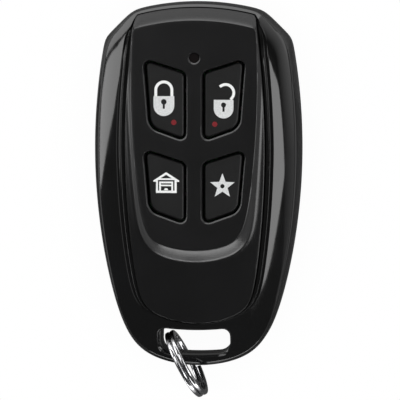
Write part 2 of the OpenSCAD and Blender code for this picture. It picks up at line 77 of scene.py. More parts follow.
# The picture's upper edge points along +Y, so the camera's own axes are worked out from that
right = Vector((0, 1, 0)).cross(back).normalized()
turn = Matrix((right, back.cross(right), back)).transposed().to_4x4()
camera.matrix_world = Matrix.Translation(PICTURE_MIDDLE + back * CAMERA_FAR) @ turn
bpy.context.scene.camera = camera
print("lens", round(camera_data.lens), "mm at", [round(v / MM) for v in camera.location], "mm")

# %% [markdown]
# ## Shader sums
# A finish is mostly arithmetic: a noise times a strength plus a base. Adding every Math node by hand
# hides that, so a small class stands for a socket and turns + - * / into nodes, from either side of the
# sign.


# %% A socket that can be used in sums
class Wire:
    """An output socket of a finish, to be used in sums."""

    def __init__(self, finish, socket):
        self.finish = finish
        self.socket = socket

    def sum_of(self, operation, first, second):
        return self.finish.add("ShaderNodeMath", {"operation": operation}, {0: first, 1: second})

    def __add__(self, other):
        return self.sum_of("ADD", self, other)

    def __radd__(self, other):
        return self.sum_of("ADD", other, self)

    def __sub__(self, other):
        return self.sum_of("SUBTRACT", self, other)

    def __rsub__(self, other):
        return self.sum_of("SUBTRACT", other, self)

    def __mul__(self, other):
        return self.sum_of("MULTIPLY", self, other)

    def __rmul__(self, other):
        return self.sum_of("MULTIPLY", other, self)

    def __truediv__(self, other):
        return self.sum_of("DIVIDE", self, other)

    def __rtruediv__(self, other):
        return self.sum_of("DIVIDE", other, self)


print("sums of sockets ready")

# %% [markdown]
# A finish is a material whose nodes are added one after another, all by one method, which sets a node's
# settings first and then its sockets. The patterns read Object coordinates, which start at the fob's own
# origin, so a pattern stays on its piece when the piece moves with its joint.


# %% A finish that is built node by node
class Finish:
    """A procedural material, built node by node."""

    def __init__(self, name):
        self.material = bpy.data.materials.new(name)
        self.material.use_nodes = True
        self.tree = self.material.node_tree
        self.tree.nodes.clear()

    def add(self, kind, settings=None, sockets=None, out=0):
        """Adds any node: its settings come first, then the values or links of its sockets."""
        node = self.tree.nodes.new(kind)
        for name, value in (settings or {}).items():
            if name == "stops":
                self.set_stops(node.color_ramp, value)
            else:
                setattr(node, name, value)
        for key, value in (sockets or {}).items():
            if isinstance(value, Wire):
                self.tree.links.new(value.socket, node.inputs[key])
            else:
                node.inputs[key].default_value = value
        return Wire(self, node.outputs[out]) if node.outputs else None

    def set_stops(self, ramp, stops):
        while len(ramp.elements) < len(stops):
            ramp.elements.new(0.5)
        for element, (place, level) in zip(ramp.elements, stops):
            element.position = place
            element.color = (level, level, level, 1)

    def place(self):
        """Object coordinates, which start at the fob's own origin."""
        return self.add("ShaderNodeTexCoord", out="Object")

    def noise(self, size, detail=2.0, stretch=None):
        """Noise from 0 to 1 whose blotches are about size metres across."""
        at = self.place()
        if stretch:
            at = self.add("ShaderNodeMapping", None, {"Vector": at, "Scale": stretch})
        return self.add("ShaderNodeTexNoise", None, {"Vector": at, "Scale": 1 / size, "Detail": detail})

    def cells(self, size):
        """Distance to the middle of rounded grains about size metres across."""
        return self.add("ShaderNodeTexVoronoi", None, {"Vector": self.place(), "Scale": 1 / size})

    def ramp(self, value, *stops):
        """A value eased between stops of place and level."""
        return self.add("ShaderNodeValToRGB", {"stops": stops}, {"Fac": value})

    def mix(self, factor, first, second):
        """A colour between two colours."""
        return self.add("ShaderNodeMix", {"data_type": "RGBA"}, {0: factor, 6: first, 7: second}, out=2)

    def bump(self, height, strength, distance):
        return self.add("ShaderNodeBump", None,
                        {"Height": height, "Strength": strength, "Distance": distance})

    def done(self, **sockets):
        """Ends the finish in a Principled shader. A socket's name has _ where the shader's has a space."""
        named = {name.replace("_", " "): value for name, value in sockets.items()}
        shader = self.add("ShaderNodeBsdfPrincipled", None, named)
        self.add("ShaderNodeOutputMaterial", None, {"Surface": shader})
        return self.material


def grey(level):
    return (level, level, level, 1)


print("shader helpers ready")

# %% [markdown]
# ## Black plastics
# Nearly all of the fob is black, so the finishes differ in gloss and not in colour. The bezel is
# polished: its roughness is low, with the faint waves and the handling marks of moulded plastic. The
# panel and the rear cover come out of a spark-eroded mould with a fine grain, which is a bump of small
# rounded cells.

# %% Gloss, satin and grained black


def make_gloss_black():
    f = Finish("gloss_black")
    smudge = f.ramp(f.noise(9 * MM, 4), (0.42, 0.0), (0.72, 1.0))
    speck = f.noise(0.25 * MM, 1)
    wave = f.noise(2.2 * MM, 1)
    return f.done(
        Base_Color=f.mix(smudge * 0.5, grey(0.0052), (0.0066, 0.0068, 0.0072, 1)),
        Roughness=0.055 + smudge * 0.05 + speck * 0.02,
        Normal=f.bump(wave, 0.03, 0.02 * MM), IOR=1.5)


def make_satin_black():
    f = Finish("satin_black")
    grain = f.cells(0.14 * MM)
    cloud = f.noise(7 * MM, 3)
    return f.done(
        Base_Color=f.mix(cloud, grey(0.0044), (0.0056, 0.0056, 0.006, 1)),
        Roughness=0.23 + cloud * 0.06,
        Normal=f.bump(grain, 0.10, 0.02 * MM), IOR=1.5)


def make_rear_black():
    f = Finish("rear_black")
    grain = f.cells(0.3 * MM)
    rub = f.ramp(f.noise(11 * MM, 5), (0.45, 0.0), (0.75, 1.0))
    return f.done(
        Base_Color=f.mix(rub, grey(0.0085), grey(0.0125)),
        Roughness=0.5 - rub * 0.12,
        Normal=f.bump(grain, 0.22, 0.03 * MM), IOR=1.5)


gloss_black = make_gloss_black()
satin_black = make_satin_black()
rear_black = make_rear_black()
print("plastics", gloss_black.name, satin_black.name, rear_black.name)

# %% [markdown]
# ## Rubber, ink, smoked window and chrome
# The keys are silicone rubber: dark, matte and a little dusty. Their signs are printed in a thick white
# ink with fine pits, and each upper key has a small red dot. The lamp window is smoked plastic. The ring
# is plated steel wire, so it is a metal with faint marks from drawing and a few blotches of grime.

# %% Rubber, inks, window and chrome


def make_key_rubber():
    f = Finish("key_rubber")
    dust = f.noise(3 * MM, 4)
    tooth = f.noise(0.09 * MM, 2)
    return f.done(
        Base_Color=f.mix(dust, grey(0.0048), (0.0066, 0.0066, 0.0068, 1)),
        Roughness=0.4 + dust * 0.1,
        Normal=f.bump(tooth, 0.14, 0.02 * MM), IOR=1.36)


def make_ink(name, colour, worn):
    f = Finish(name)
    pits = f.ramp(f.noise(0.16 * MM, 3), (0.3, 0.0), (0.62, 1.0))
    return f.done(
        Base_Color=f.mix(pits, worn, colour),
        Roughness=0.5 - pits * 0.1,
        Normal=f.bump(pits, 0.2, 0.01 * MM))


def make_smoked_window():
    f = Finish("smoked_window")
    haze = f.noise(0.5 * MM, 2)
    return f.done(
        Base_Color=f.mix(haze, (0.0045, 0.0038, 0.0038, 1), (0.0065, 0.0045, 0.0045, 1)),
        Roughness=0.08 + haze * 0.06, IOR=1.55)


def make_chrome():
    f = Finish("chrome")
    drawn = f.noise(0.35 * MM, 4)
    grime = f.ramp(f.noise(1.1 * MM, 3), (0.5, 0.0), (0.78, 1.0))
    return f.done(
        Base_Color=f.mix(grime, (0.46, 0.46, 0.47, 1), (0.2, 0.2, 0.21, 1)),
        Metallic=1.0,
        Roughness=0.1 + drawn * 0.1 + grime * 0.12,
        Normal=f.bump(drawn, 0.06, 0.02 * MM))


key_rubber = make_key_rubber()
white_ink = make_ink("white_ink", (0.86, 0.87, 0.86, 1), (0.7, 0.71, 0.7, 1))
grey_ink = make_ink("grey_ink", (0.68, 0.69, 0.69, 1), (0.5, 0.51, 0.51, 1))
red_ink = make_ink("red_ink", (0.2, 0.003, 0.008, 1), (0.12, 0.002, 0.005, 1))
smoked_window = make_smoked_window()
chrome = make_chrome()
print("inks and metals ready")

# %% [markdown]
# ## Outlines
# The case, the panel and the raised key deck share one family of outline: bowed sides, a bowed top, a
# round tail and, on the case, flats across the top corners. It could be traced, but a formula keeps it
# exact: along each ray from the middle, the nearest of a few circles counts, with the corners between
# them eased.


# %% Bowed outlines
class Outline:
    """A closed outline in millimetres, which can be read along rays from any middle."""

    def __init__(self, points):
        self.points = points

    def scaled(self, x_share, y_share):
        return Outline(self.points * (x_share, y_share))

    def along(self, angles, middle):
        """Points of the outline on rays from a middle, and its outward normals there."""
        offsets = self.points - middle
        turns = np.unwrap(np.arctan2(offsets[:, 1], offsets[:, 0]))
        whole = np.concatenate((turns - math.tau, turns, turns + math.tau))
        far = np.tile(np.hypot(offsets[:, 0], offsets[:, 1]), 3)
        step = math.tau / len(turns)

        def at(angle):
            r = np.interp(angle, whole, far)
            return np.column_stack((r * np.cos(angle), r * np.sin(angle))) + middle

        tangent = at(angles + step) - at(angles - step)
        normal = np.column_stack((tangent[:, 1], -tangent[:, 0]))
        return at(angles), normal / np.linalg.norm(normal, axis=1)[:, None]


OUTLINE_POINTS = 1440
TOP_SHARPNESS = 90
TAIL_EASE = 0.6


def reach(ray, middle, radius):
    """How far a ray from the origin goes to the far side of a circle."""
    along = ray.dot(middle)
    return along + math.sqrt(along ** 2 - middle.length_squared + radius ** 2)


def soft_min(values, sharpness, shares=None):
    """A rounded least value, in which a value may count with a share."""
    shares = shares or [1] * len(values)
    return sum(share * v ** -sharpness for v, share in zip(values, shares)) ** (-1 / sharpness)


def eased(t):
    """A share from 0 to 1 that starts and ends gently."""
    t = np.clip(t, 0, 1)
    return t * t * (3 - 2 * t)


print("eased at 0, a half and 1:", eased(np.array((0, 0.5, 1))))

# %% [markdown]
# One function then makes all three outlines from a few sizes. Rays are sent out from halfway along the
# outline, and the tail only counts for rays that point towards it. The case's size is read from the
# frame.

# %% Outlines of case, panel and deck


def bowed(width, side_r, waist_y, top_y, top_r, tail_y, tail_r, tail_sharpness,
          flat=None, flat_sharpness=TOP_SHARPNESS):
    """An outline of two bowed sides, a bowed top and a tail, with flats across the top corners if given."""
    middle = (top_y + tail_y) / 2
    points = []
    for angle in np.linspace(0, math.tau, OUTLINE_POINTS, endpoint=False):
        ray = Vector((math.cos(angle), math.sin(angle)))
        sides = [reach(ray, Vector((s * (width / 2 - side_r), waist_y - middle)), side_r) for s in (-1, 1)]
        tail = reach(ray, Vector((0, tail_y + tail_r - middle)), tail_r)
        low = soft_min([*sides, tail], tail_sharpness, [1, 1, eased(-ray.y / TAIL_EASE)])
        high = reach(ray, Vector((0, top_y - top_r - middle)), top_r)
        flats = []
        for s in (-1, 1):
            across = (s * ray.x + ray.y) / math.sqrt(2)
            if flat and across > 0:
                flats.append((flat - middle / math.sqrt(2)) / across)
        far = soft_min([soft_min([low, *flats], flat_sharpness), high], TOP_SHARPNESS)
        points.append((far * ray.x, far * ray.y + middle))
    return Outline(np.array(points))


CASE_W = (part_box("rear_cover")[1].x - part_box("rear_cover")[0].x) / MM
CASE_L = (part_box("rear_cover")[1].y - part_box("rear_cover")[0].y) / MM
TOP_Y = CASE_L / 2
WAIST_Y = 6
CORNER_CUT = 5.65
CORNER_FLAT = (CASE_W / 2 + TOP_Y) / math.sqrt(2) - CORNER_CUT
PANEL_TOP_GAP = 1.1
DECK_TOP_GAP = 3.4
TOP_R = 42

case_form = {"width": CASE_W, "side_r": 100, "waist_y": WAIST_Y, "top_y": TOP_Y, "top_r": TOP_R,
             "tail_y": -TOP_Y, "tail_r": 22, "tail_sharpness": 16, "flat": CORNER_FLAT}
case = bowed(**case_form)
# Above its widest place the case is rounder at the corners
upper_case = bowed(**case_form, flat_sharpness=36)
panel = bowed(width=23.8, side_r=150, waist_y=WAIST_Y, top_y=TOP_Y - PANEL_TOP_GAP,
              top_r=TOP_R - PANEL_TOP_GAP, tail_y=-23.7, tail_r=16, tail_sharpness=20)
deck = bowed(width=21.2, side_r=150, waist_y=17.3, top_y=TOP_Y - DECK_TOP_GAP,
             top_r=TOP_R - DECK_TOP_GAP, tail_y=-10.9, tail_r=18, tail_sharpness=12)
print("case", round(CASE_W, 2), "by", round(CASE_L, 2), "mm")

# %% [markdown]
# ## The height of the front
# The front is crowned along its length, and its rim drops in two steps: a bowed facet that catches the
# long highlights, then an upright side. One function gives the height at any place, so that the bezel,
# the panel and the rim of the ring slot all agree.

# %% Height of the crowned front
EDGE_Z = 7
EDGE_H = 5
EDGE_W = 5.2
SIDE_H = 2.3
SIDE_IN = 0.5
FACET_P = 1.7
CROWN_Y = 12
CROWN_R = 240
HALVINGS = 26


def rise_at(inset):
    """Share of the rim's height that is reached at an inset from the widest place."""
    side = SIDE_H / EDGE_H
    t = np.clip((inset - SIDE_IN) / (EDGE_W - SIDE_IN), 0, 1)
    facet = side + (1 - side) * (1 - (1 - t) ** FACET_P)
    return np.where(inset < SIDE_IN, side * inset / SIDE_IN, facet)


def inset_at(points):
    """How far inside the case's widest outline each point lies, found by halving."""
    low = np.zeros(len(points))
    high = np.full(len(points), CASE_W / 2 - SIDE_IN)
    turns = np.arctan2(upper_case.points[:, 1], upper_case.points[:, 0])
    far = np.hypot(upper_case.points[:, 0], upper_case.points[:, 1])
    for _ in range(HALVINGS):
        inset = (low + high) / 2
        x = points[:, 0] / (1 - 2 * inset / CASE_W)
        y = points[:, 1] / (1 - 2 * inset / CASE_L)
        inside = np.hypot(x, y) < np.interp(np.arctan2(y, x), turns, far, period=math.tau)
        low = np.where(inside, inset, low)
        high = np.where(inside, high, inset)
    return low


def front_height(points):
    """Height of the case's crowned front at points in the plan."""
    drop = (points[:, 1] - CROWN_Y) ** 2 / (2 * CROWN_R)
    return EDGE_Z + rise_at(inset_at(points)) * (EDGE_H - drop)


print("crown", front_height(np.array([(0.0, CROWN_Y), (0.0, -20.0)])).round(2), "mm")

# %% [markdown]
# ## Shells from loops
# A shell of this kind is easiest to think of as a stack of loops: the first loop is a circle operator's,
# and each further loop is extruded from the last and moved to its place. Every vertex keeps the number of
# its ray in a layer, which the extrusion copies, so a loop needs only one place for each ray.

# %% Stack of loops
RAYS = 288
ANGLES = np.linspace(0, math.tau, RAYS, endpoint=False)


def loop_at(points, z):
    """A loop's places in metres from its plan in millimetres and its height."""
    return np.column_stack((points, np.broadcast_to(z, len(points)))) * MM


def verts_of(geom):
    return [g for g in geom if isinstance(g, bmesh.types.BMVert)]


def stack_loops(loops, shut=False):
    """A mesh through a list of loops. shut joins the last loop to the first, else both ends are filled."""
    bm = bmesh.new()
    ray = bm.verts.layers.int.new("ray")
    made = bmesh.ops.create_circle(bm, segments=len(loops[0]), radius=1)
    for number, vert in enumerate(made["verts"]):
        vert[ray] = number
        vert.co = loops[0][number]
    first = edges = list(bm.edges)
    for loop in loops[1:]:
        grown = bmesh.ops.extrude_edge_only(bm, edges=edges)["geom"]
        verts = set(verts_of(grown))
        edges = [g for g in grown if isinstance(g, bmesh.types.BMEdge) and verts.issuperset(g.verts)]
        for vert in verts:
            vert.co = loop[vert[ray]]
    if shut:
        bmesh.ops.bridge_loops(bm, edges=first + edges)
    else:
        bmesh.ops.edgeloop_fill(bm, edges=first)
        bmesh.ops.edgeloop_fill(bm, edges=edges)
    bmesh.ops.recalc_face_normals(bm, faces=bm.faces)
    return bm


print("rays in a loop", RAYS)

# %% [markdown]
# ## From mesh to piece
# Each mesh becomes an object that rides one body of the frame, so that it moves with that body's joint.
# Holes are cut with a Boolean, which is applied at once. Normals weighted by face area keep flat faces
# flat beside their rounded edges, which matters on gloss black, where every error of a normal shows as a
# wave.

# %% Pieces, cuts and shading
SHARP = math.radians(35)


def keep_result(piece):
    """Makes what a piece's modifiers give its own mesh."""
    graph = bpy.context.evaluated_depsgraph_get()
    piece.data = bpy.data.meshes.new_from_object(piece.evaluated_get(graph))
    piece.modifiers.clear()


def shade(piece):
    for polygon in piece.data.polygons:
        polygon.use_smooth = True
    piece.data.set_sharp_from_angle(angle=SHARP)
    modifier = piece.modifiers.new("flat faces first", "WEIGHTED_NORMAL")
    modifier.keep_sharp = True
    keep_result(piece)


def to_object(bm, name):
    mesh = bpy.data.meshes.new(name)
    bm.to_mesh(mesh)
    bm.free()
    made = bpy.data.objects.new(name, mesh)
    bpy.context.scene.collection.objects.link(made)
    return made


def to_piece(bm, name, finish, body, cutters=(), joined=()):
    """A finished piece of a mesh, less its cutters and with what is joined to it."""
    piece = to_object(bm, name)
    piece.data.materials.append(finish)
    for operation, others in (("UNION", joined), ("DIFFERENCE", cutters)):
        for other in others:
            tool = to_object(other, "tool")
            modifier = piece.modifiers.new("cut", "BOOLEAN")
            modifier.object = tool
            modifier.operation = operation
            modifier.solver = "EXACT"
            keep_result(piece)
            bpy.data.objects.remove(tool)
    shade(piece)
    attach(piece, body)
    print(name, len(piece.data.polygons), "faces on", body)
    return piece


print("edges over", round(math.degrees(SHARP)), "degrees stay sharp")

# %% [markdown]
# The slot, the key openings, the padlocks and the ring's wire all start as polygons with rounded corners.
# Each corner is bevelled as a vertex, which gives a true arc, and the normals of the finished outline say
# which way an eased rim goes.

# %% Rounded polygons
CORNER_STEPS = 8


def rounded_outline(corners, radii, cuts=0):
    """Plan and outward normals of a polygon with rounded corners. cuts divides its long edges."""
    bm = bmesh.new()
    verts = [bm.verts.new((x, y, 0)) for x, y in corners]
    bm.faces.new(verts)
    for vert, radius in zip(verts, radii):
        ends = [e.other_vert(vert).co - vert.co for e in vert.link_edges]
        back = radius / math.tan(ends[0].angle(ends[1]) / 2)
        bmesh.ops.bevel(bm, geom=[vert], offset=back, offset_type="OFFSET", affect="VERTICES",
                        segments=CORNER_STEPS, profile=0.5, material=-1)
    if cuts:
        longest = sorted(bm.edges, key=lambda e: e.calc_length())[-len(corners):]
        bmesh.ops.subdivide_edges(bm, edges=longest, cuts=cuts)
    bm.faces.ensure_lookup_table()
    points = np.array([v.co.xy for v in bm.faces[0].verts])
    bm.free()
    return points, normals_of(points)


def normals_of(points):
    """Outward normals at the corners of a polygon that runs counter-clockwise."""
    along = np.roll(points, -1, axis=0) - points
    side = np.column_stack((along[:, 1], -along[:, 0])) / np.linalg.norm(along, axis=1)[:, None]
    both = side + np.roll(side, 1, axis=0)
    return 2 * both / (both ** 2).sum(axis=1)[:, None]


print("steps of a rounded corner", CORNER_STEPS)

# %% [markdown]
# ## The ring slot
# The slot near the tail goes through both halves of the case. It is a bar with round corners, bowed
# towards the tail, and its front rim is eased, which is where its small highlights sit. Its walls lean in
# a little towards the back, as the draft of a mould does, so the lower wall shows from the front. The
# solid that cuts it follows the crowned front, so the easing is even all around.

# %% Slot cutter
SLOT_HALF = 6.1
SLOT_X = -0.4
SLOT_LOW = -29.2
SLOT_HIGH = -24.8
SLOT_BOW = 0.4
# Corner radii, from the lower left around
SLOT_R = (2, 2, 1.4, 1.4)
SPLIT_Z = 6
# How far a cutter goes past what it cuts
CLEAR = 1
# The walls lean in by this much for each millimetre below the front, most at the lower edge
SLOT_DRAFT = 0.05
SLOT_FRONT_Z = 9
SLOT_BACK_Z = 2.5
# Outset of the eased rim, and its depth below the front
SLOT_RIM = ((0, 0.44), (0.05, 0.3), (0.3, 0.12), (0.4, 0.06), (0.5, 0.02), (0.62, -0.02))
# Share of its full width that an eased rim has at an opening's sides, and what it gains at the lower edge
RIM_SIDE = 0.7
RIM_GAIN = 0.3


def rim_share(out):
    """How wide an eased rim is along an opening, as a share: full at the lower edge, least at the upper."""
    return RIM_SIDE - RIM_GAIN * out[:, 1:] / np.linalg.norm(out, axis=1)[:, None]


def box_corners(x1, y1, x2, y2):
    return [(x1, y1), (x2, y1), (x2, y2), (x1, y2)]


def slot_plan(z=SLOT_FRONT_Z):
    """Plan and outward normals of the slot's walls at a height."""
    corners = box_corners(-SLOT_HALF, SLOT_LOW, SLOT_HALF, SLOT_HIGH)
    points, _ = rounded_outline(corners, SLOT_R, cuts=20)
    points[:, 1] += SLOT_BOW * (points[:, 0] / SLOT_HALF) ** 2
    points[:, 0] += SLOT_X
    out = normals_of(points)
    lean = SLOT_DRAFT * (SLOT_FRONT_Z - z) * (1 - out[:, 1:]) / 2
    return points - out * lean, out


def slot_cutter():
    points, out = slot_plan()
    below = SPLIT_Z - CLEAR
    loops = [loop_at(slot_plan(below)[0], below)]
    wide = rim_share(out)
    for outset, depth in SLOT_RIM:
        wider = points + out * wide * outset
        loops.append(loop_at(wider, front_height(wider) - depth))
    loops.append(loop_at(points + out * wide * SLOT_RIM[-1][0], EDGE_Z + EDGE_H))
    return stack_loops(loops)


print("slot", 2 * SLOT_HALF, "by", SLOT_HIGH - SLOT_LOW, "mm")

# %% [markdown]
# ## The bezel
# The bezel is the polished front half of the case: an upright side, the bowed facet, a sunk bead beside
# the panel and a ledge that carries it. Its loops run from the parting line up the outside, over the
# facet, down into the seat and back below. Towards the tail it is solid, so that the slot has walls. The
# bead has steep flanks with a hair of rounding, because a soft bead would mirror a broad band of light.

# %% Bezel
BEZEL_MIDDLE = (0, 3)
FIT = 0.1
BEAD_W = 1.35
# The bead starts as a thin line at the top corners: its share there, and where and how fast it widens
BEAD_START = 0.15
BEAD_START_Y = 28
BEAD_START_L = 3.5
# Share of the bead's depth at the panel's ends
END_DEPTH = 0.15
SKIRT_Z = 7.7
LEDGE_W = 1.2
FACET_LOOPS = 9
# A narrow strip keeps the edge between side and facet crisp: its width, and the facet's first share
CRISP_W = 0.04
FACET_START = 0.02
UNDER_Z = 6.9
LIP_IN = 0.8
# Where the underside goes from solid, towards the tail, to hollow
SOLID_Y = (-23.0, -22.2)
# Share of the bead's width that is left, and how deep it lies there
BEAD_SECTION = ((0.985, 0.02), (0.965, 0.1), (0.93, 0.46), (0.75, 0.48), (0.63, 0.45), (0.57, 0.352),
                (0.54, 0.336), (0.46, 0.336), (0.43, 0.352), (0.37, 0.45), (0.24, 0.48), (0.06, 0.5))


def case_loop(inset, outline=case):
    smaller = outline.scaled(1 - 2 * inset / CASE_W, 1 - 2 * inset / CASE_L)
    return smaller.along(ANGLES, BEZEL_MIDDLE)[0]


def bezel_loops():
    seat, out = panel.along(ANGLES, BEZEL_MIDDLE)
    sideways = 1 - np.abs(out[:, 1])
    start = BEAD_START + (1 - BEAD_START) * eased((BEAD_START_Y - seat[:, 1]) / BEAD_START_L)
    bead = (FIT + BEAD_W * sideways * start)[:, None]
    crease = seat + out * bead
    edge = case_loop(SIDE_IN, upper_case)
    seam_z = SPLIT_Z + FIT / 4
    widest = case_loop(0)
    loops = [loop_at(case_loop(FIT), seam_z), loop_at(widest, SPLIT_Z + FIT), loop_at(widest, EDGE_Z)]
    below = case_loop(SIDE_IN - CRISP_W, upper_case)
    loops.append(loop_at(below, front_height(below)))
    for t in np.linspace(FACET_START, 1, FACET_LOOPS):
        plan = edge + (crease - edge) * t
        loops.append(loop_at(plan, front_height(plan)))
    top = front_height(crease)
    deep = END_DEPTH + (1 - END_DEPTH) * sideways
    for share, depth in BEAD_SECTION:
        loops.append(loop_at(seat + out * bead * share, top - depth * deep))
    loops.append(loop_at(seat + out * bead * BEAD_SECTION[-1][0], SKIRT_Z))
    ledge = seat - out * LEDGE_W
    inner = case_loop(LIP_IN)
    ledge_z, inner_z = (np.interp(plan[:, 1], SOLID_Y, (seam_z, UNDER_Z)) for plan in (ledge, inner))
    return loops + [loop_at(ledge, SKIRT_Z), loop_at(ledge, ledge_z), loop_at(inner, inner_z),
                    loop_at(case_loop(LIP_IN - FIT / 4), seam_z)]


bezel = to_piece(stack_loops(bezel_loops(), shut=True), "bezel", gloss_black, "case",
                 cutters=[slot_cutter()])
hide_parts("front_bezel")

# %% [markdown]
# ## The rear cover
# The back half of the case is a grained tray that screws to the bezel. Its loops run from the flat back
# around the rounded edge, up the side, over the lip that lines the halves up, and down to the floor of
# the hollow. The same tray could be made with Solidify, but its wall isn't even.

# %% Rear cover form
WALL = 1.6
FLOOR_T = 1.4
BACK_EDGE_W = 3.2
BACK_EDGE_H = 3
BACK_LOOPS = 9
COVER_LIP_IN = 0.9
LIP_H = 0.7
# Where the hollow ends towards the tail, at the lip's outside and inside, and where the lip fades out
LIP_TAIL = -23.6
HOLLOW_TAIL = -23.1
LIP_FADE = (-22.6, -21.8)


def shut_tail(plan, low_y):
    """A plan that goes no further towards the tail than a straight end."""
    return np.column_stack((plan[:, 0], np.maximum(plan[:, 1], low_y)))


def cover_loops():
    loops = []
    for turn in np.linspace(math.pi / 2, 0, BACK_LOOPS):
        plan = case_loop(BACK_EDGE_W * (1 - math.cos(turn)))
        loops.append(loop_at(plan, BACK_EDGE_H * (1 - math.sin(turn))))
    seam_z = SPLIT_Z - FIT / 4
    loops += [loop_at(case_loop(0), SPLIT_Z - FIT), loop_at(case_loop(FIT), seam_z)]
    lip = shut_tail(case_loop(COVER_LIP_IN), LIP_TAIL)
    hollow = shut_tail(case_loop(WALL), HOLLOW_TAIL)
    lip_z = [np.interp(plan[:, 1], LIP_FADE, (seam_z, SPLIT_Z + LIP_H)) for plan in (lip, hollow)]
    return loops + [loop_at(lip, seam_z - FIT / 4), loop_at(lip, lip_z[0]), loop_at(hollow, lip_z[1]),
                    loop_at(hollow, FLOOR_T)]


print("floor of the rear cover", FLOOR_T, "mm")

# %% [markdown]
# The back slopes up towards the tail, which leaves room for the ring below its bar. A sloping block cuts
# it, and the slot gets an eased rim there too.

# %% Lifted tail
TAIL_LIFT = 3.4 / 11
TAIL_LIFT_Y = -20
# Outset of the slot's rim at the back, and its height above the sloping back
SLOT_BACK_RIM = ((0.4, -0.2), (0.3, 0), (0.1, 0.1), (0.03, 0.22), (0, 0.4))


def box(low, high):
    """A block between two corners in millimetres."""
    bm = bmesh.new()
    low, high = Vector(low), Vector(high)
    place = Matrix.Translation((low + high) / 2 * MM) @ Matrix.Diagonal((*((high - low) * MM), 1))
    bmesh.ops.create_cube(bm, size=1, matrix=place)
    return bm


def tail_block():
    bm = box((-CASE_W, -CASE_L, -CASE_W), (CASE_W, 0, 0))
    lean = Matrix.Rotation(-math.atan(TAIL_LIFT), 4, "X")
    bmesh.ops.transform(bm, verts=bm.verts, matrix=Matrix.Translation((0, TAIL_LIFT_Y * MM, 0)) @ lean)
    return bm


def back_slot_cutter():
    points, out = slot_plan(SLOT_BACK_Z)
    loops = []
    for outset, height in SLOT_BACK_RIM:
        wider = points + out * outset
        loops.append(loop_at(wider, (TAIL_LIFT_Y - wider[:, 1]) * TAIL_LIFT + height))
    above = SPLIT_Z + CLEAR
    return stack_loops([*loops, loop_at(slot_plan(above)[0], above)])


print("tail lifts by", round((TAIL_LIFT_Y + CASE_L / 2) * TAIL_LIFT, 2), "mm")

# %% [markdown]
# Inside the tray stand four screw posts, a broken ring wall that holds the coin cell, and two pads under
# the cell's clip. They are separate solids joined to the tray, and the screws' holes are cut last, so
# that they go through both the posts and the floor.

# %% Rear cover
POST_R = 2.2
POST_TOP = 5.8
SCREW_R = 1.1
HEAD_R = 1.9
HEAD_TOP = 2.4
SCREWS = [(side * x, y) for side in (-1, 1) for x, y in ((13.2, 19), (11.02, -19.4))]
CELL_Y = -4
CRADLE_R = (10.2, 11.1)
CRADLE_TOP = 3.9
CRADLE_GAP = 3.2
PAD_X = 5
PAD_HALF = (1, 3)
PAD_TOP = 2
# How far joined pieces are sunk into the floor
SUNK = 0.5


def rod(middle, radius, low_z, high_z, segments=48):
    """An upright rod with flat ends."""
    bm = bmesh.new()
    place = Matrix.Translation(Vector((*middle, (low_z + high_z) / 2)) * MM)
    bmesh.ops.create_cone(bm, cap_ends=True, segments=segments, radius1=radius * MM, radius2=radius * MM,
                          depth=(high_z - low_z) * MM, matrix=place)
    return bm


def cradle_wall(start, steps=40):
    """Half of the wall around the coin cell, spun from its section."""
    inner, outer = CRADLE_R
    bm = bmesh.new()
    section = box_corners(inner, FLOOR_T - SUNK, outer, CRADLE_TOP)
    face = bm.faces.new([bm.verts.new(Vector((r, 0, z)) * MM) for r, z in section])
    gap = math.asin(2 * CRADLE_GAP / (inner + outer))
    bmesh.ops.rotate(bm, verts=bm.verts, matrix=Matrix.Rotation(start + gap, 3, "Z"))
    bmesh.ops.spin(bm, geom=[face], cent=(0, 0, 0), axis=(0, 0, 1), angle=math.pi - 2 * gap, steps=steps)
    bmesh.ops.translate(bm, verts=bm.verts, vec=(0, CELL_Y * MM, 0))
    bmesh.ops.recalc_face_normals(bm, faces=bm.faces)
    return bm


def cell_pad(x):
    half_w, half_l = PAD_HALF
    return box((x - half_w, CELL_Y - half_l, FLOOR_T - SUNK), (x + half_w, CELL_Y + half_l, PAD_TOP))


posts = [rod(at, POST_R, FLOOR_T - SUNK, POST_TOP) for at in SCREWS]
head_holes = [rod(at, HEAD_R, -CLEAR, HEAD_TOP) for at in SCREWS]
shank_holes = [rod(at, SCREW_R, -CLEAR, EDGE_Z) for at in SCREWS]
cover = to_piece(stack_loops(cover_loops()), "rear_tray", rear_black, "case",
                 joined=[*posts, cradle_wall(0), cradle_wall(math.pi), cell_pad(-PAD_X), cell_pad(PAD_X)],
                 cutters=[tail_block(), back_slot_cutter(), *head_holes, *shank_holes])
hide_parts("rear_cover")

# %% [markdown]
# ## The panel
# The satin panel follows the crown of the case and carries the raised key deck. Its loops start below the
# deck, come out under the skirt, go up to its rounded edge, in over the crown to the foot of the deck's
# slope, and up to the deck. A thin seam is left open around the skirt.

# %% Panel sizes
PANEL_MIDDLE = (0, 6)
PANEL_T = 1.4
PANEL_EDGE = 0.13
# How much crisper the edge is at the top end, and the dark seam around the panel
TOP_CRISP = 0.6
SEAM = 0.1
DECK_Z = 12.8
DECK_UNDER = DECK_Z - PANEL_T
SLOPE = 2.9 / 2.3
LOW_SLOPE = 0.97
CROWN_LOOPS = 4
# How much the slope bows out, as a share of its width, and how softly its foot meets the crown
SLOPE_BOW = 0.045
TOP_BOW = 0.06
FOOT_EASE = 0.28
SIDE_EASE = 0.3
SLOPE_SHARES = (1, 0.9, 0.8, 0.7, 0.55, 0.4, 0.25, 0.12)
# Outset from the deck's outline over its eased edge, and the drop there
DECK_EDGE = ((0.05, 0.03), (0, 0.006), (-0.06, 0), (-0.4, 0))
# Turns over the rounded edge
EDGE_TURNS = np.radians((0, 30, 60, 90))
print("deck", DECK_Z, "mm above the back")

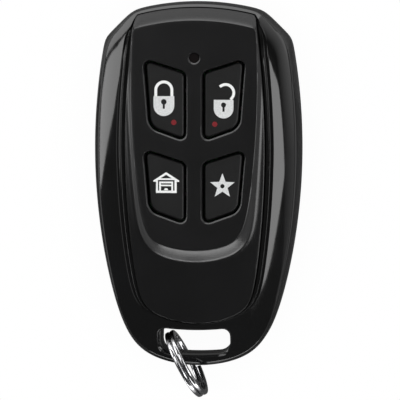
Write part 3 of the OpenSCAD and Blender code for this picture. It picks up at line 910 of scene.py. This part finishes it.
# %% [markdown]
# Where the slope meets the crown is found by halving along each ray. The slope bows out a little and its
# foot is eased, as on a moulded part, because a sharp foot would break the highlights that run over it.

# %% Panel form


def panel_loops():
    skirt, out = panel.along(ANGLES, PANEL_MIDDLE)
    skirt = skirt - out * SEAM
    round_r = PANEL_EDGE * (1 - TOP_CRISP * np.clip(out[:, 1:], 0, 1))
    rim, slope_out = deck.along(ANGLES, PANEL_MIDDLE)
    slope = SLOPE + (LOW_SLOPE - SLOPE) * np.clip(-slope_out[:, 1], 0, 1)

    def outset(plan):
        return ((plan - rim) * slope_out).sum(axis=1)

    edge = skirt - out * round_r
    low = np.zeros(RAYS)
    high = outset(edge) - FIT
    for _ in range(HALVINGS):
        far = (low + high) / 2
        above = DECK_Z - far * slope > front_height(rim + slope_out * far[:, None])
        low = np.where(above, far, low)
        high = np.where(above, high, far)
    foot = rim + slope_out * low[:, None]

    ease = FOOT_EASE + SIDE_EASE * slope_out[:, 0] ** 4
    bow = (SLOPE_BOW + TOP_BOW * np.clip(slope_out[:, 1], 0, 1)) * low

    def top_at(plan):
        """The higher of the crown and the bowed slope, with the foot between them eased."""
        far = outset(plan)
        share = np.clip(far / low, 0, 1)
        side = DECK_Z - far * slope + 4 * bow * share * (1 - share)
        crown = front_height(plan)
        return np.minimum((crown + side + np.hypot(crown - side, ease)) / 2, DECK_Z)

    inner_skirt = skirt - out * PANEL_T
    inner_deck = rim - slope_out * PANEL_T
    inner_foot = inner_deck + (inner_skirt - inner_deck) / 4
    loops = [loop_at(inner_deck, DECK_UNDER),
             loop_at(inner_foot, np.minimum(top_at(foot) - PANEL_T, DECK_UNDER)),
             loop_at(inner_skirt, top_at(skirt) - PANEL_T), loop_at(inner_skirt, SKIRT_Z),
             loop_at(skirt, SKIRT_Z)]
    for turn in EDGE_TURNS:
        plan = skirt - out * round_r * (1 - math.cos(turn))
        loops.append(loop_at(plan, top_at(plan) - round_r[:, 0] * (1 - math.sin(turn))))
    crown_w = np.linalg.norm(edge - foot, axis=1)[:, None]
    near = np.minimum(2 * ease[:, None] / crown_w, 0.5)
    for t in np.linspace(1, 0, CROWN_LOOPS + 1)[1:]:
        plan = foot + (edge - foot) * (near + (1 - near) * t)
        loops.append(loop_at(plan, top_at(plan)))
    plan = foot + (edge - foot) * near / 2
    loops.append(loop_at(plan, top_at(plan)))
    for share in SLOPE_SHARES:
        plan = rim + slope_out * low[:, None] * share
        loops.append(loop_at(plan, top_at(plan)))
    loops += [loop_at(rim + slope_out * outset_by, DECK_Z - drop) for outset_by, drop in DECK_EDGE]
    return loops


panel_stack = panel_loops()
print("loops of the panel", len(panel_stack))

# %% [markdown]
# ## Openings for keys and lamp
# Each key opening is a slanted four-sided hole with round corners, and its rim is eased, so a thin line
# of light runs along its lower edge. The left openings mirror the right ones. The lamp's hole is round,
# with a wider mouth.

# %% Openings
# Where the inner side of each row's openings starts, and how long it is
UPPER, LOWER = (19.1, 11.8), (3.9, 10.6)
# How far the inner side and the ends of the outer side are from the middle, and how much the ends slant
KEY_IN = 1.35
KEY_OUT = (7.7, 8.6)
KEY_SLANT = 2.3
KEY_RADII = (1.3, 1.1, 2.4, 1.1)
# Outset of an eased rim, and its depth below the deck
KEY_RIM = ((0, 0.36), (0.02, 0.22), (0.24, 0.04), (0.32, 0.0), (0.36, -0.1))
LENS_Y = 21.4
LENS_R = 0.8
# The lamp's hole is small, so only every sixth ray counts
LENS_RAYS = 6
LENS_RIM = ((0.04, 0.4), (0.06, 0.22), (0.3, 0.03), (0.36, 0.0), (0.4, -0.1))


def key_outline(side, row):
    """Plan and normals of a key's opening. side is -1 on the left and 1 on the right."""
    high, long = row
    low_out, high_out = KEY_OUT
    corners = [(KEY_IN, high), (KEY_IN, high - long),
               (low_out, high - long + KEY_SLANT), (high_out, high + KEY_SLANT)]
    points, out = rounded_outline(corners, KEY_RADII, cuts=6)
    if side > 0:
        return points, out
    return (points * (-1, 1))[::-1], (out * (-1, 1))[::-1]


def opening(plan, rim, low_z):
    points, out = plan
    loops = [loop_at(points + out * rim[0][0], low_z)]
    wide = rim_share(out)
    loops += [loop_at(points + out * wide * outset, DECK_Z - depth) for outset, depth in rim]
    return stack_loops(loops)


def lens_plan():
    angles = ANGLES[::LENS_RAYS]
    out = np.column_stack((np.cos(angles), np.sin(angles)))
    return out * LENS_R + (0, LENS_Y), out


keys = {"lock": (-1, UPPER), "unlock": (1, UPPER), "garage": (-1, LOWER), "star": (1, LOWER)}
openings = [opening(key_outline(*place), KEY_RIM, DECK_UNDER - CLEAR) for place in keys.values()]
openings.append(opening(lens_plan(), LENS_RIM, DECK_UNDER - CLEAR))
front_panel = to_piece(stack_loops(panel_stack), "panel", satin_black, "case",
                       cutters=openings)
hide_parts("front_panel")

# %% [markdown]
# ## The keys
# Each key is a rubber block that stands a little below the deck, smaller than its opening by an even gap,
# with a rounded upper edge. Below it a stem reaches the plunger of its switch. A key rides its own body,
# so it can be pressed.

# %% Keys
KEY_TOP = 12.3
KEY_UNDER = 10.5
KEY_GAP = 0.35
KEY_EDGE = 0.4
KEY_TURNS = np.radians((0, 22, 45, 67, 90))
STEM_R = 1.4
STEM_LOW = 9.3
STEM_X = 4.75
STEM_Y = {UPPER: 14.35, LOWER: -0.25}


def key_block(side, row):
    points, out = key_outline(side, row)
    loops = [loop_at(points - out * KEY_GAP, KEY_UNDER)]
    for turn in KEY_TURNS:
        plan = points - out * (KEY_GAP + KEY_EDGE * (1 - math.cos(turn)))
        loops.append(loop_at(plan, KEY_TOP - KEY_EDGE * (1 - math.sin(turn))))
    return stack_loops(loops)


for name, (side, row) in keys.items():
    stem = rod((side * STEM_X, STEM_Y[row]), STEM_R, STEM_LOW, KEY_UNDER + KEY_GAP)
    key = to_piece(key_block(side, row), name + "_key", key_rubber, name + "_key",
                   joined=[stem])
    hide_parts(name + "_button")

# %% [markdown]
# ## The printed signs
# The signs are ink, so they are plates only a few hundredths of a millimetre thick: a shut padlock, an
# open one, a garage and a star, with a red dot on each upper key. A plate is one face that is extruded,
# and a padlock's bow is a small section spun about the middle of its arc.

# %% Sign helpers
INK_TOP = KEY_TOP + 0.05
INK_LOW = KEY_TOP - 0.05
# The bows and the dots are printed a little thinner
BOW_TOP = INK_TOP - 0.005
DOT_TOP = INK_TOP - 0.02


def lengthened(bm, face, along):
    """Extrudes a face along a vector in metres and gives its moved end."""
    made = bmesh.ops.extrude_face_region(bm, geom=[face])["geom"]
    bmesh.ops.translate(bm, verts=verts_of(made), vec=along)
    return next(g for g in made if isinstance(g, bmesh.types.BMFace))


def plate(corners, low_z=INK_LOW, high_z=INK_TOP):
    """A flat plate between two heights."""
    bm = bmesh.new()
    face = bm.faces.new([bm.verts.new(Vector((x, y, low_z)) * MM) for x, y in corners])
    lengthened(bm, face, (0, 0, (high_z - low_z) * MM))
    bmesh.ops.recalc_face_normals(bm, faces=bm.faces)
    return bm


def field(corners):
    """A plate that cuts a dark field out of the ink."""
    return plate(corners, INK_LOW - CLEAR, INK_TOP + CLEAR)


def round_hole(middle, radius):
    return rod(middle, radius, INK_LOW - CLEAR, INK_TOP + CLEAR)


def shackle(middle, radius, stroke, start, sweep, leg=0, steps=28):
    """A padlock's bow: an arc of a flat section by angles in degrees, with a straight leg at each end."""
    first, last = math.radians(start), math.radians(start + sweep)
    section = box_corners(radius - stroke / 2, INK_LOW, radius + stroke / 2, BOW_TOP)
    bm = bmesh.new()
    face = bm.faces.new([bm.verts.new(Vector((x, 0, z)) * MM) for x, z in section])
    bmesh.ops.rotate(bm, verts=bm.verts, matrix=Matrix.Rotation(first, 3, "Z"))
    if leg:
        along = Vector((-math.sin(first), math.cos(first), 0)) * leg * MM
        bmesh.ops.translate(bm, verts=bm.verts, vec=-along)
        face = lengthened(bm, face, along)
    spun = bmesh.ops.spin(bm, geom=[face], cent=(0, 0, 0), axis=(0, 0, 1), angle=last - first, steps=steps)
    if leg:
        end = next(g for g in spun["geom_last"] if isinstance(g, bmesh.types.BMFace))
        lengthened(bm, end, Vector((-math.sin(last), math.cos(last), 0)) * leg * MM)
    bmesh.ops.translate(bm, verts=bm.verts, vec=Vector((*middle, 0)) * MM)
    bmesh.ops.recalc_face_normals(bm, faces=bm.faces)
    return bm


print("ink stands", round(INK_TOP - KEY_TOP, 2), "mm above the keys")

# %% [markdown]
# The two padlocks share one build: a body with a flat top and a round foot, a keyhole cut out of it, and
# a bow.

# %% Padlocks and dots
LOCK_TOP_R = 0.06
# The round foot falls short of a half circle by this much, so that two straight sides are left
LOCK_FOOT_GAP = 0.01
KEYHOLE_HALF = 0.18
DOT_R = 0.44
DOTS = {"lock_key": (-3.45, 10.6), "unlock_key": (3.45, 10.32)}


def padlock(name, low, left, right, top, hole, bow):
    """A padlock's body with its keyhole, and its bow as a second plate."""
    body = name + "_key"
    foot_r = (right - left) / 2 - LOCK_FOOT_GAP
    outline, _ = rounded_outline(box_corners(left, low, right, top), [foot_r, foot_r, LOCK_TOP_R, LOCK_TOP_R])
    hole_x, hole_y, hole_r, slit_low = hole
    slit = field(box_corners(hole_x - KEYHOLE_HALF, slit_low, hole_x + KEYHOLE_HALF, hole_y))
    to_piece(plate(outline), name + "_sign_body", grey_ink, body,
             cutters=[round_hole((hole_x, hole_y), hole_r), slit])
    to_piece(bow, name + "_sign_bow", white_ink, body)


padlock("lock", low=11.67, left=-6.88, right=-3.37, top=15.0, hole=(-5.14, 14.04, 0.47, 12.89),
        bow=shackle((-5.13, 16.02), radius=1.36, stroke=0.47, start=0, sweep=180, leg=1.04))
padlock("unlock", low=11.29, left=3.29, right=6.6, top=14.4, hole=(4.93, 13.54, 0.42, 12.41),
        bow=shackle((5.27, 15.58), radius=1.38, stroke=0.46, start=-54, sweep=187))
for body, middle in DOTS.items():
    to_piece(rod(middle, DOT_R, INK_LOW, DOT_TOP), body + "_dot", red_ink, body)

# %% [markdown]
# The garage starts as the silhouette of a house, out of which the dark fields are cut: the gable, the gap
# around the door, and the door's two panes. The star is a circle of ten points with every second one
# drawn in.

# %% Garage and star
HOUSE = [(-6.47, -1.26), (-2.97, -1.26), (-2.97, 0.62), (-2.57, 0.62), (-2.53, 0.82), (-4.75, 2.24),
         (-6.93, 0.82), (-6.89, 0.62), (-6.47, 0.62)]
HOUSE_GAPS = [
    [(-5.72, 1.2), (-3.8, 1.2), (-4.75, 1.8)],
    [(-6.14, -0.86), (-5.93, -0.86), (-5.93, 0.66), (-3.58, 0.66), (-3.58, -0.86), (-3.33, -0.86),
     (-3.33, 0.92), (-6.14, 0.92)],
    box_corners(-5.64, 0.13, -3.87, 0.36),
    box_corners(-5.64, -0.86, -3.87, -0.12)]
HANDLE = [(-5.1, -0.8), (-4.42, -0.8), (-4.46, -0.6), (-4.6, -0.46), (-4.92, -0.46), (-5.06, -0.6)]
to_piece(plate(HOUSE), "garage_sign", white_ink, "garage_key",
         cutters=[field(gap) for gap in HOUSE_GAPS])
to_piece(plate(HANDLE), "garage_sign_handle", white_ink, "garage_key")

STAR_MIDDLE = (4.75, -0.07)
STAR_R = 2.17
STAR_WAIST = 0.42
STAR_POINTS = 10
STAR_HOLE_R = 0.36


def star_plate():
    bm = bmesh.new()
    place = Matrix.Translation(Vector((*STAR_MIDDLE, INK_LOW)) * MM)
    made = bmesh.ops.create_circle(bm, cap_ends=True, segments=STAR_POINTS, radius=STAR_R * MM, matrix=place)
    for vert in made["verts"][1::2]:
        vert.co = place.translation.lerp(vert.co, STAR_WAIST)
    [face] = bm.faces
    lengthened(bm, face, (0, 0, (INK_TOP - INK_LOW) * MM))
    bmesh.ops.recalc_face_normals(bm, faces=bm.faces)
    return bm


to_piece(star_plate(), "star_sign", grey_ink, "star_key",
         cutters=[round_hole(STAR_MIDDLE, STAR_HOLE_R)])

# %% [markdown]
# ## The lamp window
# The lamp's window is a short light guide of smoked plastic with a collar below the panel and a slightly
# domed face. It is a lathe piece, so its half section is spun once around.

# %% Lamp window
LENS_TOP = 12.5
LENS_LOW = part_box("lamp_lens")[0].z / MM
COLLAR_R = 1.4
COLLAR_LOW, COLLAR_HIGH = 10.6, 11.4
# Radius over the domed face, and the drop there
DOME = ((LENS_R, 0.08), (LENS_R - 0.06, 0.02), (0.45, 0.005), (0, 0))
# Vertices on the axis are closer than this in metres, and are merged
WELD = 1e-7


def lathe(section, middle, steps=64):
    """Spins a half section of radii and heights about an upright line."""
    bm = bmesh.new()
    verts = [bm.verts.new(Vector((r, 0, z)) * MM) for r, z in section]
    edges = [bm.edges.new(pair) for pair in zip(verts, verts[1:])]
    bmesh.ops.spin(bm, geom=verts + edges, cent=(0, 0, 0), axis=(0, 0, 1), angle=math.tau, steps=steps,
                   use_merge=True)
    bmesh.ops.remove_doubles(bm, verts=bm.verts, dist=WELD)
    bmesh.ops.translate(bm, verts=bm.verts, vec=Vector((*middle, 0)) * MM)
    bmesh.ops.recalc_face_normals(bm, faces=bm.faces)
    return bm


guide = [(0, LENS_LOW), (LENS_R, LENS_LOW), (LENS_R, COLLAR_LOW), (COLLAR_R, COLLAR_LOW),
         (COLLAR_R, COLLAR_HIGH), (LENS_R, COLLAR_HIGH)]
guide += [(radius, LENS_TOP - drop) for radius, drop in DOME]
window = to_piece(lathe(guide, (0, LENS_Y)), "lamp_window", smoked_window, "case")
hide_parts("lamp_lens")

# %% [markdown]
# ## The split ring
# A split ring is flat spring wire wound nearly twice around. Its section, a rounded rectangle, is spun
# about the ring's axis and moved along it by one pitch for each turn, which gives the two strands and the
# free ends.

# %% Split ring
RING_AT = Vector((-2, -30.8, 6.35)) * MM
RING_R = 12.4 / 2
WIRE_W = 0.95
WIRE_T = 0.8
WIRE_R = 0.3
RING_PITCH = 0.85
RING_TURNS = 1.9
RING_STEPS = 228
RING_TURN_Z = 27


def wound_wire():
    half, thick = WIRE_W / 2, WIRE_T / 2
    section, _ = rounded_outline(box_corners(-half, -thick, half, thick), [WIRE_R] * 4)
    bm = bmesh.new()
    low_z = -RING_PITCH * RING_TURNS / 2
    face = bm.faces.new([bm.verts.new(Vector((RING_R - half + x, 0, low_z + z)) * MM) for x, z in section])
    sweep = math.tau * RING_TURNS
    bmesh.ops.rotate(bm, verts=bm.verts, matrix=Matrix.Rotation(-sweep / 2, 3, "Z"))
    bmesh.ops.spin(bm, geom=[face], cent=(0, 0, 0), axis=(0, 0, 1), angle=sweep, steps=RING_STEPS,
                   dvec=(0, 0, RING_PITCH * RING_TURNS / RING_STEPS * MM))
    place = (Matrix.Translation(RING_AT) @ Matrix.Rotation(math.radians(RING_TURN_Z), 4, "Z")
             @ Matrix.Rotation(math.radians(90), 4, "Y"))
    bmesh.ops.transform(bm, verts=bm.verts, matrix=place)
    bmesh.ops.recalc_face_normals(bm, faces=bm.faces)
    return bm


split_ring = to_piece(wound_wire(), "split_ring", chrome, "ring")
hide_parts("key_ring")

# %% [markdown]
# ## Finishes of the hidden pieces
# The pieces inside keep the solids of the frame. They show when the fob is opened, so each gets its own
# finish: a green board with copper tracks under its lacquer, brushed steel, spring bronze, black epoxy
# and so on.

# %% Board, metals and small parts


def make_board_green():
    f = Finish("board_green")
    at = f.add("ShaderNodeMapping", None, {"Vector": f.place(), "Rotation": (0, 0, math.radians(45))})
    tracks = f.add("ShaderNodeTexBrick", {"offset": 0.35},
                   {"Vector": at, "Scale": 1 / (3 * MM), "Mortar Size": 0.06, "Mortar Smooth": 0.1},
                   out="Fac")
    weave = f.noise(0.4 * MM, 2)
    green = f.mix(weave, (0.008, 0.055, 0.022, 1), (0.012, 0.075, 0.03, 1))
    return f.done(Base_Color=f.mix(tracks * 0.8, green, (0.05, 0.17, 0.06, 1)),
                  Roughness=0.26 + weave * 0.12, Normal=f.bump(tracks, 0.2, 0.03 * MM))


def make_metal(name, colour, dull, rough, streak):
    f = Finish(name)
    brushed = f.noise(0.5 * MM, 4, streak)
    stain = f.noise(4 * MM, 3)
    return f.done(Base_Color=f.mix(stain * 0.7, colour, dull), Metallic=1.0,
                  Roughness=rough + brushed * 0.15, Normal=f.bump(brushed, 0.08, 0.02 * MM))


def make_moulded(name, colour, pale, rough):
    f = Finish(name)
    cloud = f.noise(0.8 * MM, 4)
    pit = f.noise(0.12 * MM, 2)
    return f.done(Base_Color=f.mix(cloud, colour, pale), Roughness=rough + cloud * 0.15,
                  Normal=f.bump(pit, 0.12, 0.02 * MM))


board_green = make_board_green()
cell_steel = make_metal("cell_steel", (0.62, 0.61, 0.59, 1), (0.45, 0.44, 0.43, 1), 0.22, (8, 0.4, 1))
spring_bronze = make_metal("spring_bronze", (0.72, 0.58, 0.36, 1), (0.5, 0.38, 0.22, 1), 0.25, (1, 6, 1))
can_metal = make_metal("can_metal", (0.66, 0.66, 0.67, 1), (0.5, 0.5, 0.52, 1), 0.18, (5, 1, 1))
antenna_copper = make_metal("antenna_copper", (0.78, 0.36, 0.2, 1), (0.5, 0.22, 0.12, 1), 0.28, (1, 1, 1))
screw_steel = make_metal("screw_steel", (0.42, 0.42, 0.43, 1), (0.26, 0.26, 0.27, 1), 0.3, (1, 1, 6))
switch_metal = make_metal("switch_metal", (0.6, 0.6, 0.6, 1), (0.42, 0.42, 0.43, 1), 0.24, (6, 1, 1))
chip_epoxy = make_moulded("chip_epoxy", grey(0.012), grey(0.022), 0.45)
lamp_epoxy = make_moulded("lamp_epoxy", (0.5, 0.05, 0.04, 1), (0.62, 0.12, 0.09, 1), 0.2)
part_ceramic = make_moulded("part_ceramic", (0.42, 0.33, 0.22, 1), (0.55, 0.46, 0.34, 1), 0.4)
plunger_nylon = make_moulded("plunger_nylon", (0.05, 0.05, 0.052, 1), (0.075, 0.075, 0.078, 1), 0.38)
print("hidden finishes ready")

# %% [markdown]
# A solid of the frame is dressed through its material slots, which leaves its mesh as it is.

# %% Dress the frame's own pieces
finish_of = {
    "key_web": key_rubber, "circuit_board": board_green, "coin_cell": cell_steel,
    "positive_clip": spring_bronze, "negative_contact": spring_bronze, "indicator_lamp": lamp_epoxy,
    "control_chip": chip_epoxy, "radio_chip": chip_epoxy, "crystal_can": can_metal,
    "chip_parts": part_ceramic, "loop_antenna": antenna_copper, "case_screws": screw_steel}
for name in keys:
    finish_of[name + "_switch"] = switch_metal
    finish_of[name + "_plunger"] = plunger_nylon
for name, finish in finish_of.items():
    for material_slot in nodes[name].material_slots:
        material_slot.material = finish
print("dressed", len(finish_of), "pieces of the frame")

# %% [markdown]
# ## Floor
# The fob lies on its back on a white sheet, which goes on evenly past the picture. The sheet glows white
# to the camera and in reflections, and it is an ordinary pale sheet for the lights. Where the fob touches
# it, a shade is painted into the glow from ambient occlusion: faint to the camera, deep in reflections.

# %% White sheet
SHEET_R = 1500 * MM
# A hair below the flat back, since two faces in one plane would flicker
SHEET_Z = -0.02 * MM
# How far the ambient occlusion reaches that paints shade into the sheet's glow
CONTACT_FAR = 22 * MM


def make_white_sheet():
    f = Finish("white_sheet")
    seen, mirrored, through = (f.add("ShaderNodeLightPath", None, None, out=kind) for kind in (
        "Is Camera Ray", "Is Glossy Ray", "Is Transmission Ray"))
    # Ambient occlusion paints shade into the glow where the fob touches the sheet: a faint painted shade in
    # the white that the camera sees, and a deep painted shade in what reflections see
    near = f.add("ShaderNodeAmbientOcclusion", {"samples": 8}, {"Distance": CONTACT_FAR}, out="AO")
    faint = 0.97 + f.ramp(near, (0.3, 0.0), (0.9, 1.0)) * 0.03
    painted_contact_shade = f.ramp(near, (0.88, 0.12), (1.0, 0.95))
    glow = f.add("ShaderNodeEmission", None, {"Color": f.mix(seen, painted_contact_shade, faint)})
    fibre = f.noise(5 * MM, 3)
    paper = f.add("ShaderNodeBsdfDiffuse", None, {"Color": f.mix(fibre, grey(0.78), grey(0.82))})
    mixed = f.add("ShaderNodeMixShader", None, {0: seen + mirrored + through, 1: paper, 2: glow})
    f.add("ShaderNodeOutputMaterial", None, {"Surface": mixed})
    return f.material


sheet_bm = bmesh.new()
bmesh.ops.create_circle(sheet_bm, cap_ends=True, segments=96, radius=SHEET_R,
                        matrix=Matrix.Translation((0, 0, SHEET_Z)))
sheet = to_object(sheet_bm, "white_sheet")
sheet.data.materials.append(make_white_sheet())
print("sheet", round(2 * SHEET_R, 1), "m wide")

# %% [markdown]
# Photographers keep the edges of black gloss dark with a flag, which is a dark card that the edges mirror
# in place of the white sheet. This one lies around the sides and the tail, and neither the camera nor the
# shadows see it. It is open at the top end, which stays paler.

# %% Grey flag
FLAG_IN = 2
FLAG_W = 45 * MM
FLAG_Z = 0.1
# Least y for each x at which the flag is open
FLAG_OPEN = 0.7


def make_grey_felt():
    f = Finish("grey_felt")
    return f.done(Base_Color=f.mix(f.noise(3 * MM, 3), grey(0.08), grey(0.11)), Roughness=1.0)


def flag_ring():
    bm = bmesh.new()
    made = bmesh.ops.create_circle(bm, segments=RAYS, radius=1)
    for vert, place in zip(made["verts"], loop_at(case_loop(FLAG_IN), FLAG_Z)):
        vert.co = place
    grown = bmesh.ops.extrude_edge_only(bm, edges=bm.edges[:])["geom"]
    for vert in verts_of(grown):
        vert.co.xy += vert.co.xy.normalized() * FLAG_W
    middles = [(face, face.calc_center_median()) for face in bm.faces]
    ahead = [face for face, middle in middles if middle.y > FLAG_OPEN * abs(middle.x)]
    bmesh.ops.delete(bm, geom=ahead, context="FACES")
    return bm


flag = to_object(flag_ring(), "grey_flag")
flag.data.materials.append(make_grey_felt())
flag.visible_camera = flag.visible_shadow = flag.visible_diffuse = False
print("flag", round(FLAG_W / MM), "mm wide")

# %% [markdown]
# ## Studio light
# Black gloss shows only what it mirrors, so the lights are placed by where their pictures should fall.
# Each is a glowing card, given by the directions of its corners as seen from the fob: a tall one at the
# left with a slanted edge, a long one at the right that narrows to its ends, a dim one below it that
# fades upwards, two strips behind the top end, a strip low in front of the tail, and a fill above. Area
# lamps could do the same, but their plain outlines would give the highlights the wrong ends.

# %% Cards of light
FOB_MIDDLE = Vector((0, 0, 8)) * MM
CARD_FAR = 500 * MM


def make_card_glow(name, level, fades):
    """Light of a level. A fade has an axis, where it is full, where it is least, and the least share."""
    f = Finish(name)
    share = f.mix(f.noise(200 * MM, 1), grey(0.96), grey(1.0))
    for axis, full_at, least_at, least in fades:
        along = f.add("ShaderNodeSeparateXYZ", None, {0: f.place()}, out=axis) / CARD_FAR
        share = share * f.ramp((along - full_at) / (least_at - full_at), (0, 1), (1, least))
    glow = f.add("ShaderNodeEmission", None, {"Color": share, "Strength": level})
    f.add("ShaderNodeOutputMaterial", None, {"Surface": glow})
    return f.material


def towards(azimuth, elevation):
    """A direction from the fob, by its azimuth and elevation in degrees."""
    turn, up = math.radians(azimuth), math.radians(elevation)
    return Vector((math.cos(up) * math.cos(turn), math.cos(up) * math.sin(turn), math.sin(up)))


def light_card(name, level, low, high, fades=()):
    """A glowing card out of the picture, between a lower and an upper edge of as many directions each."""
    bm = bmesh.new()
    lower, upper = ([bm.verts.new(FOB_MIDDLE + towards(*corner) * CARD_FAR) for corner in edge]
                    for edge in (low, high))
    for corners in zip(lower, lower[1:], upper[1:], upper):
        bm.faces.new(corners)
    card = to_object(bm, name)
    card.data.materials.append(make_card_glow(name, level, fades))
    card.visible_camera = False
    print(name, "glows at", level)


print("cards stand", round(CARD_FAR / MM), "mm away")

# %% [markdown]
# Each corner is an azimuth and an elevation. The two edges of a card have as many corners each, so its
# outline can follow the ends of a highlight. The world adds only a little even light, as a room does.

# %% Place the cards
ROOM_LEVEL = 0.06
light_card("left_card", 4.2, [(188, 1), (182, 1), (174, 1), (168, 4.5), (163, 10), (150, 20), (134, 20.5)],
           [(188, 2), (182, 18.5), (176, 35), (168, 37), (160, 39), (150, 40), (134, 36)])
light_card("right_card", 4.6,
           [(-61, 55), (-49, 50.5), (-39, 46), (-31, 42), (-24, 39), (-15, 33), (-4, 24), (5, 26), (12, 36),
            (17, 42.5), (27, 45), (42, 44), (54, 37)],
           [(-61, 63), (-49, 64), (-39, 63.5), (-31, 63), (-24, 62), (-15, 62), (-4, 62), (5, 62), (12, 62),
            (17, 62), (27, 60), (42, 59), (54, 57)])
light_card("right_low_card", 1.9, [(62, 4), (45, 4), (20, 4), (-20, 4), (-60, 4)],
           [(62, 43), (45, 43), (20, 35), (-20, 22), (-60, 22)],
           [("Z", 0.2, 0.52, 0), ("Y", 0.36, -0.05, 0.36)])
light_card("top_card", 3.3, [(166, 1), (155, 1), (141, 1), (120, 1), (97, 1), (62, 1)],
           [(166, 3.5), (155, 12), (141, 17.5), (120, 17), (97, 16), (62, 16)])
light_card("top_high_card", 4.0, [(125, 16), (97, 16), (62, 16)], [(125, 25), (97, 26), (62, 26)])
light_card("low_card", 6.0, [(-120, 1), (-85, 1), (-45, 1)], [(-120, 15), (-85, 15), (-45, 15)])
light_card("fill_card", 2.6, [(115, 50), (165, 45), (200, 62)], [(110, 68), (150, 68), (190, 69)])

world = bpy.data.worlds.new("dim_room")
world.use_nodes = True
background = world.node_tree.nodes["Background"]
background.inputs["Color"].default_value = grey(1.0)
background.inputs["Strength"].default_value = ROOM_LEVEL
bpy.context.scene.world = world
bpy.context.scene.view_settings.view_transform = "Standard"
print("world set")
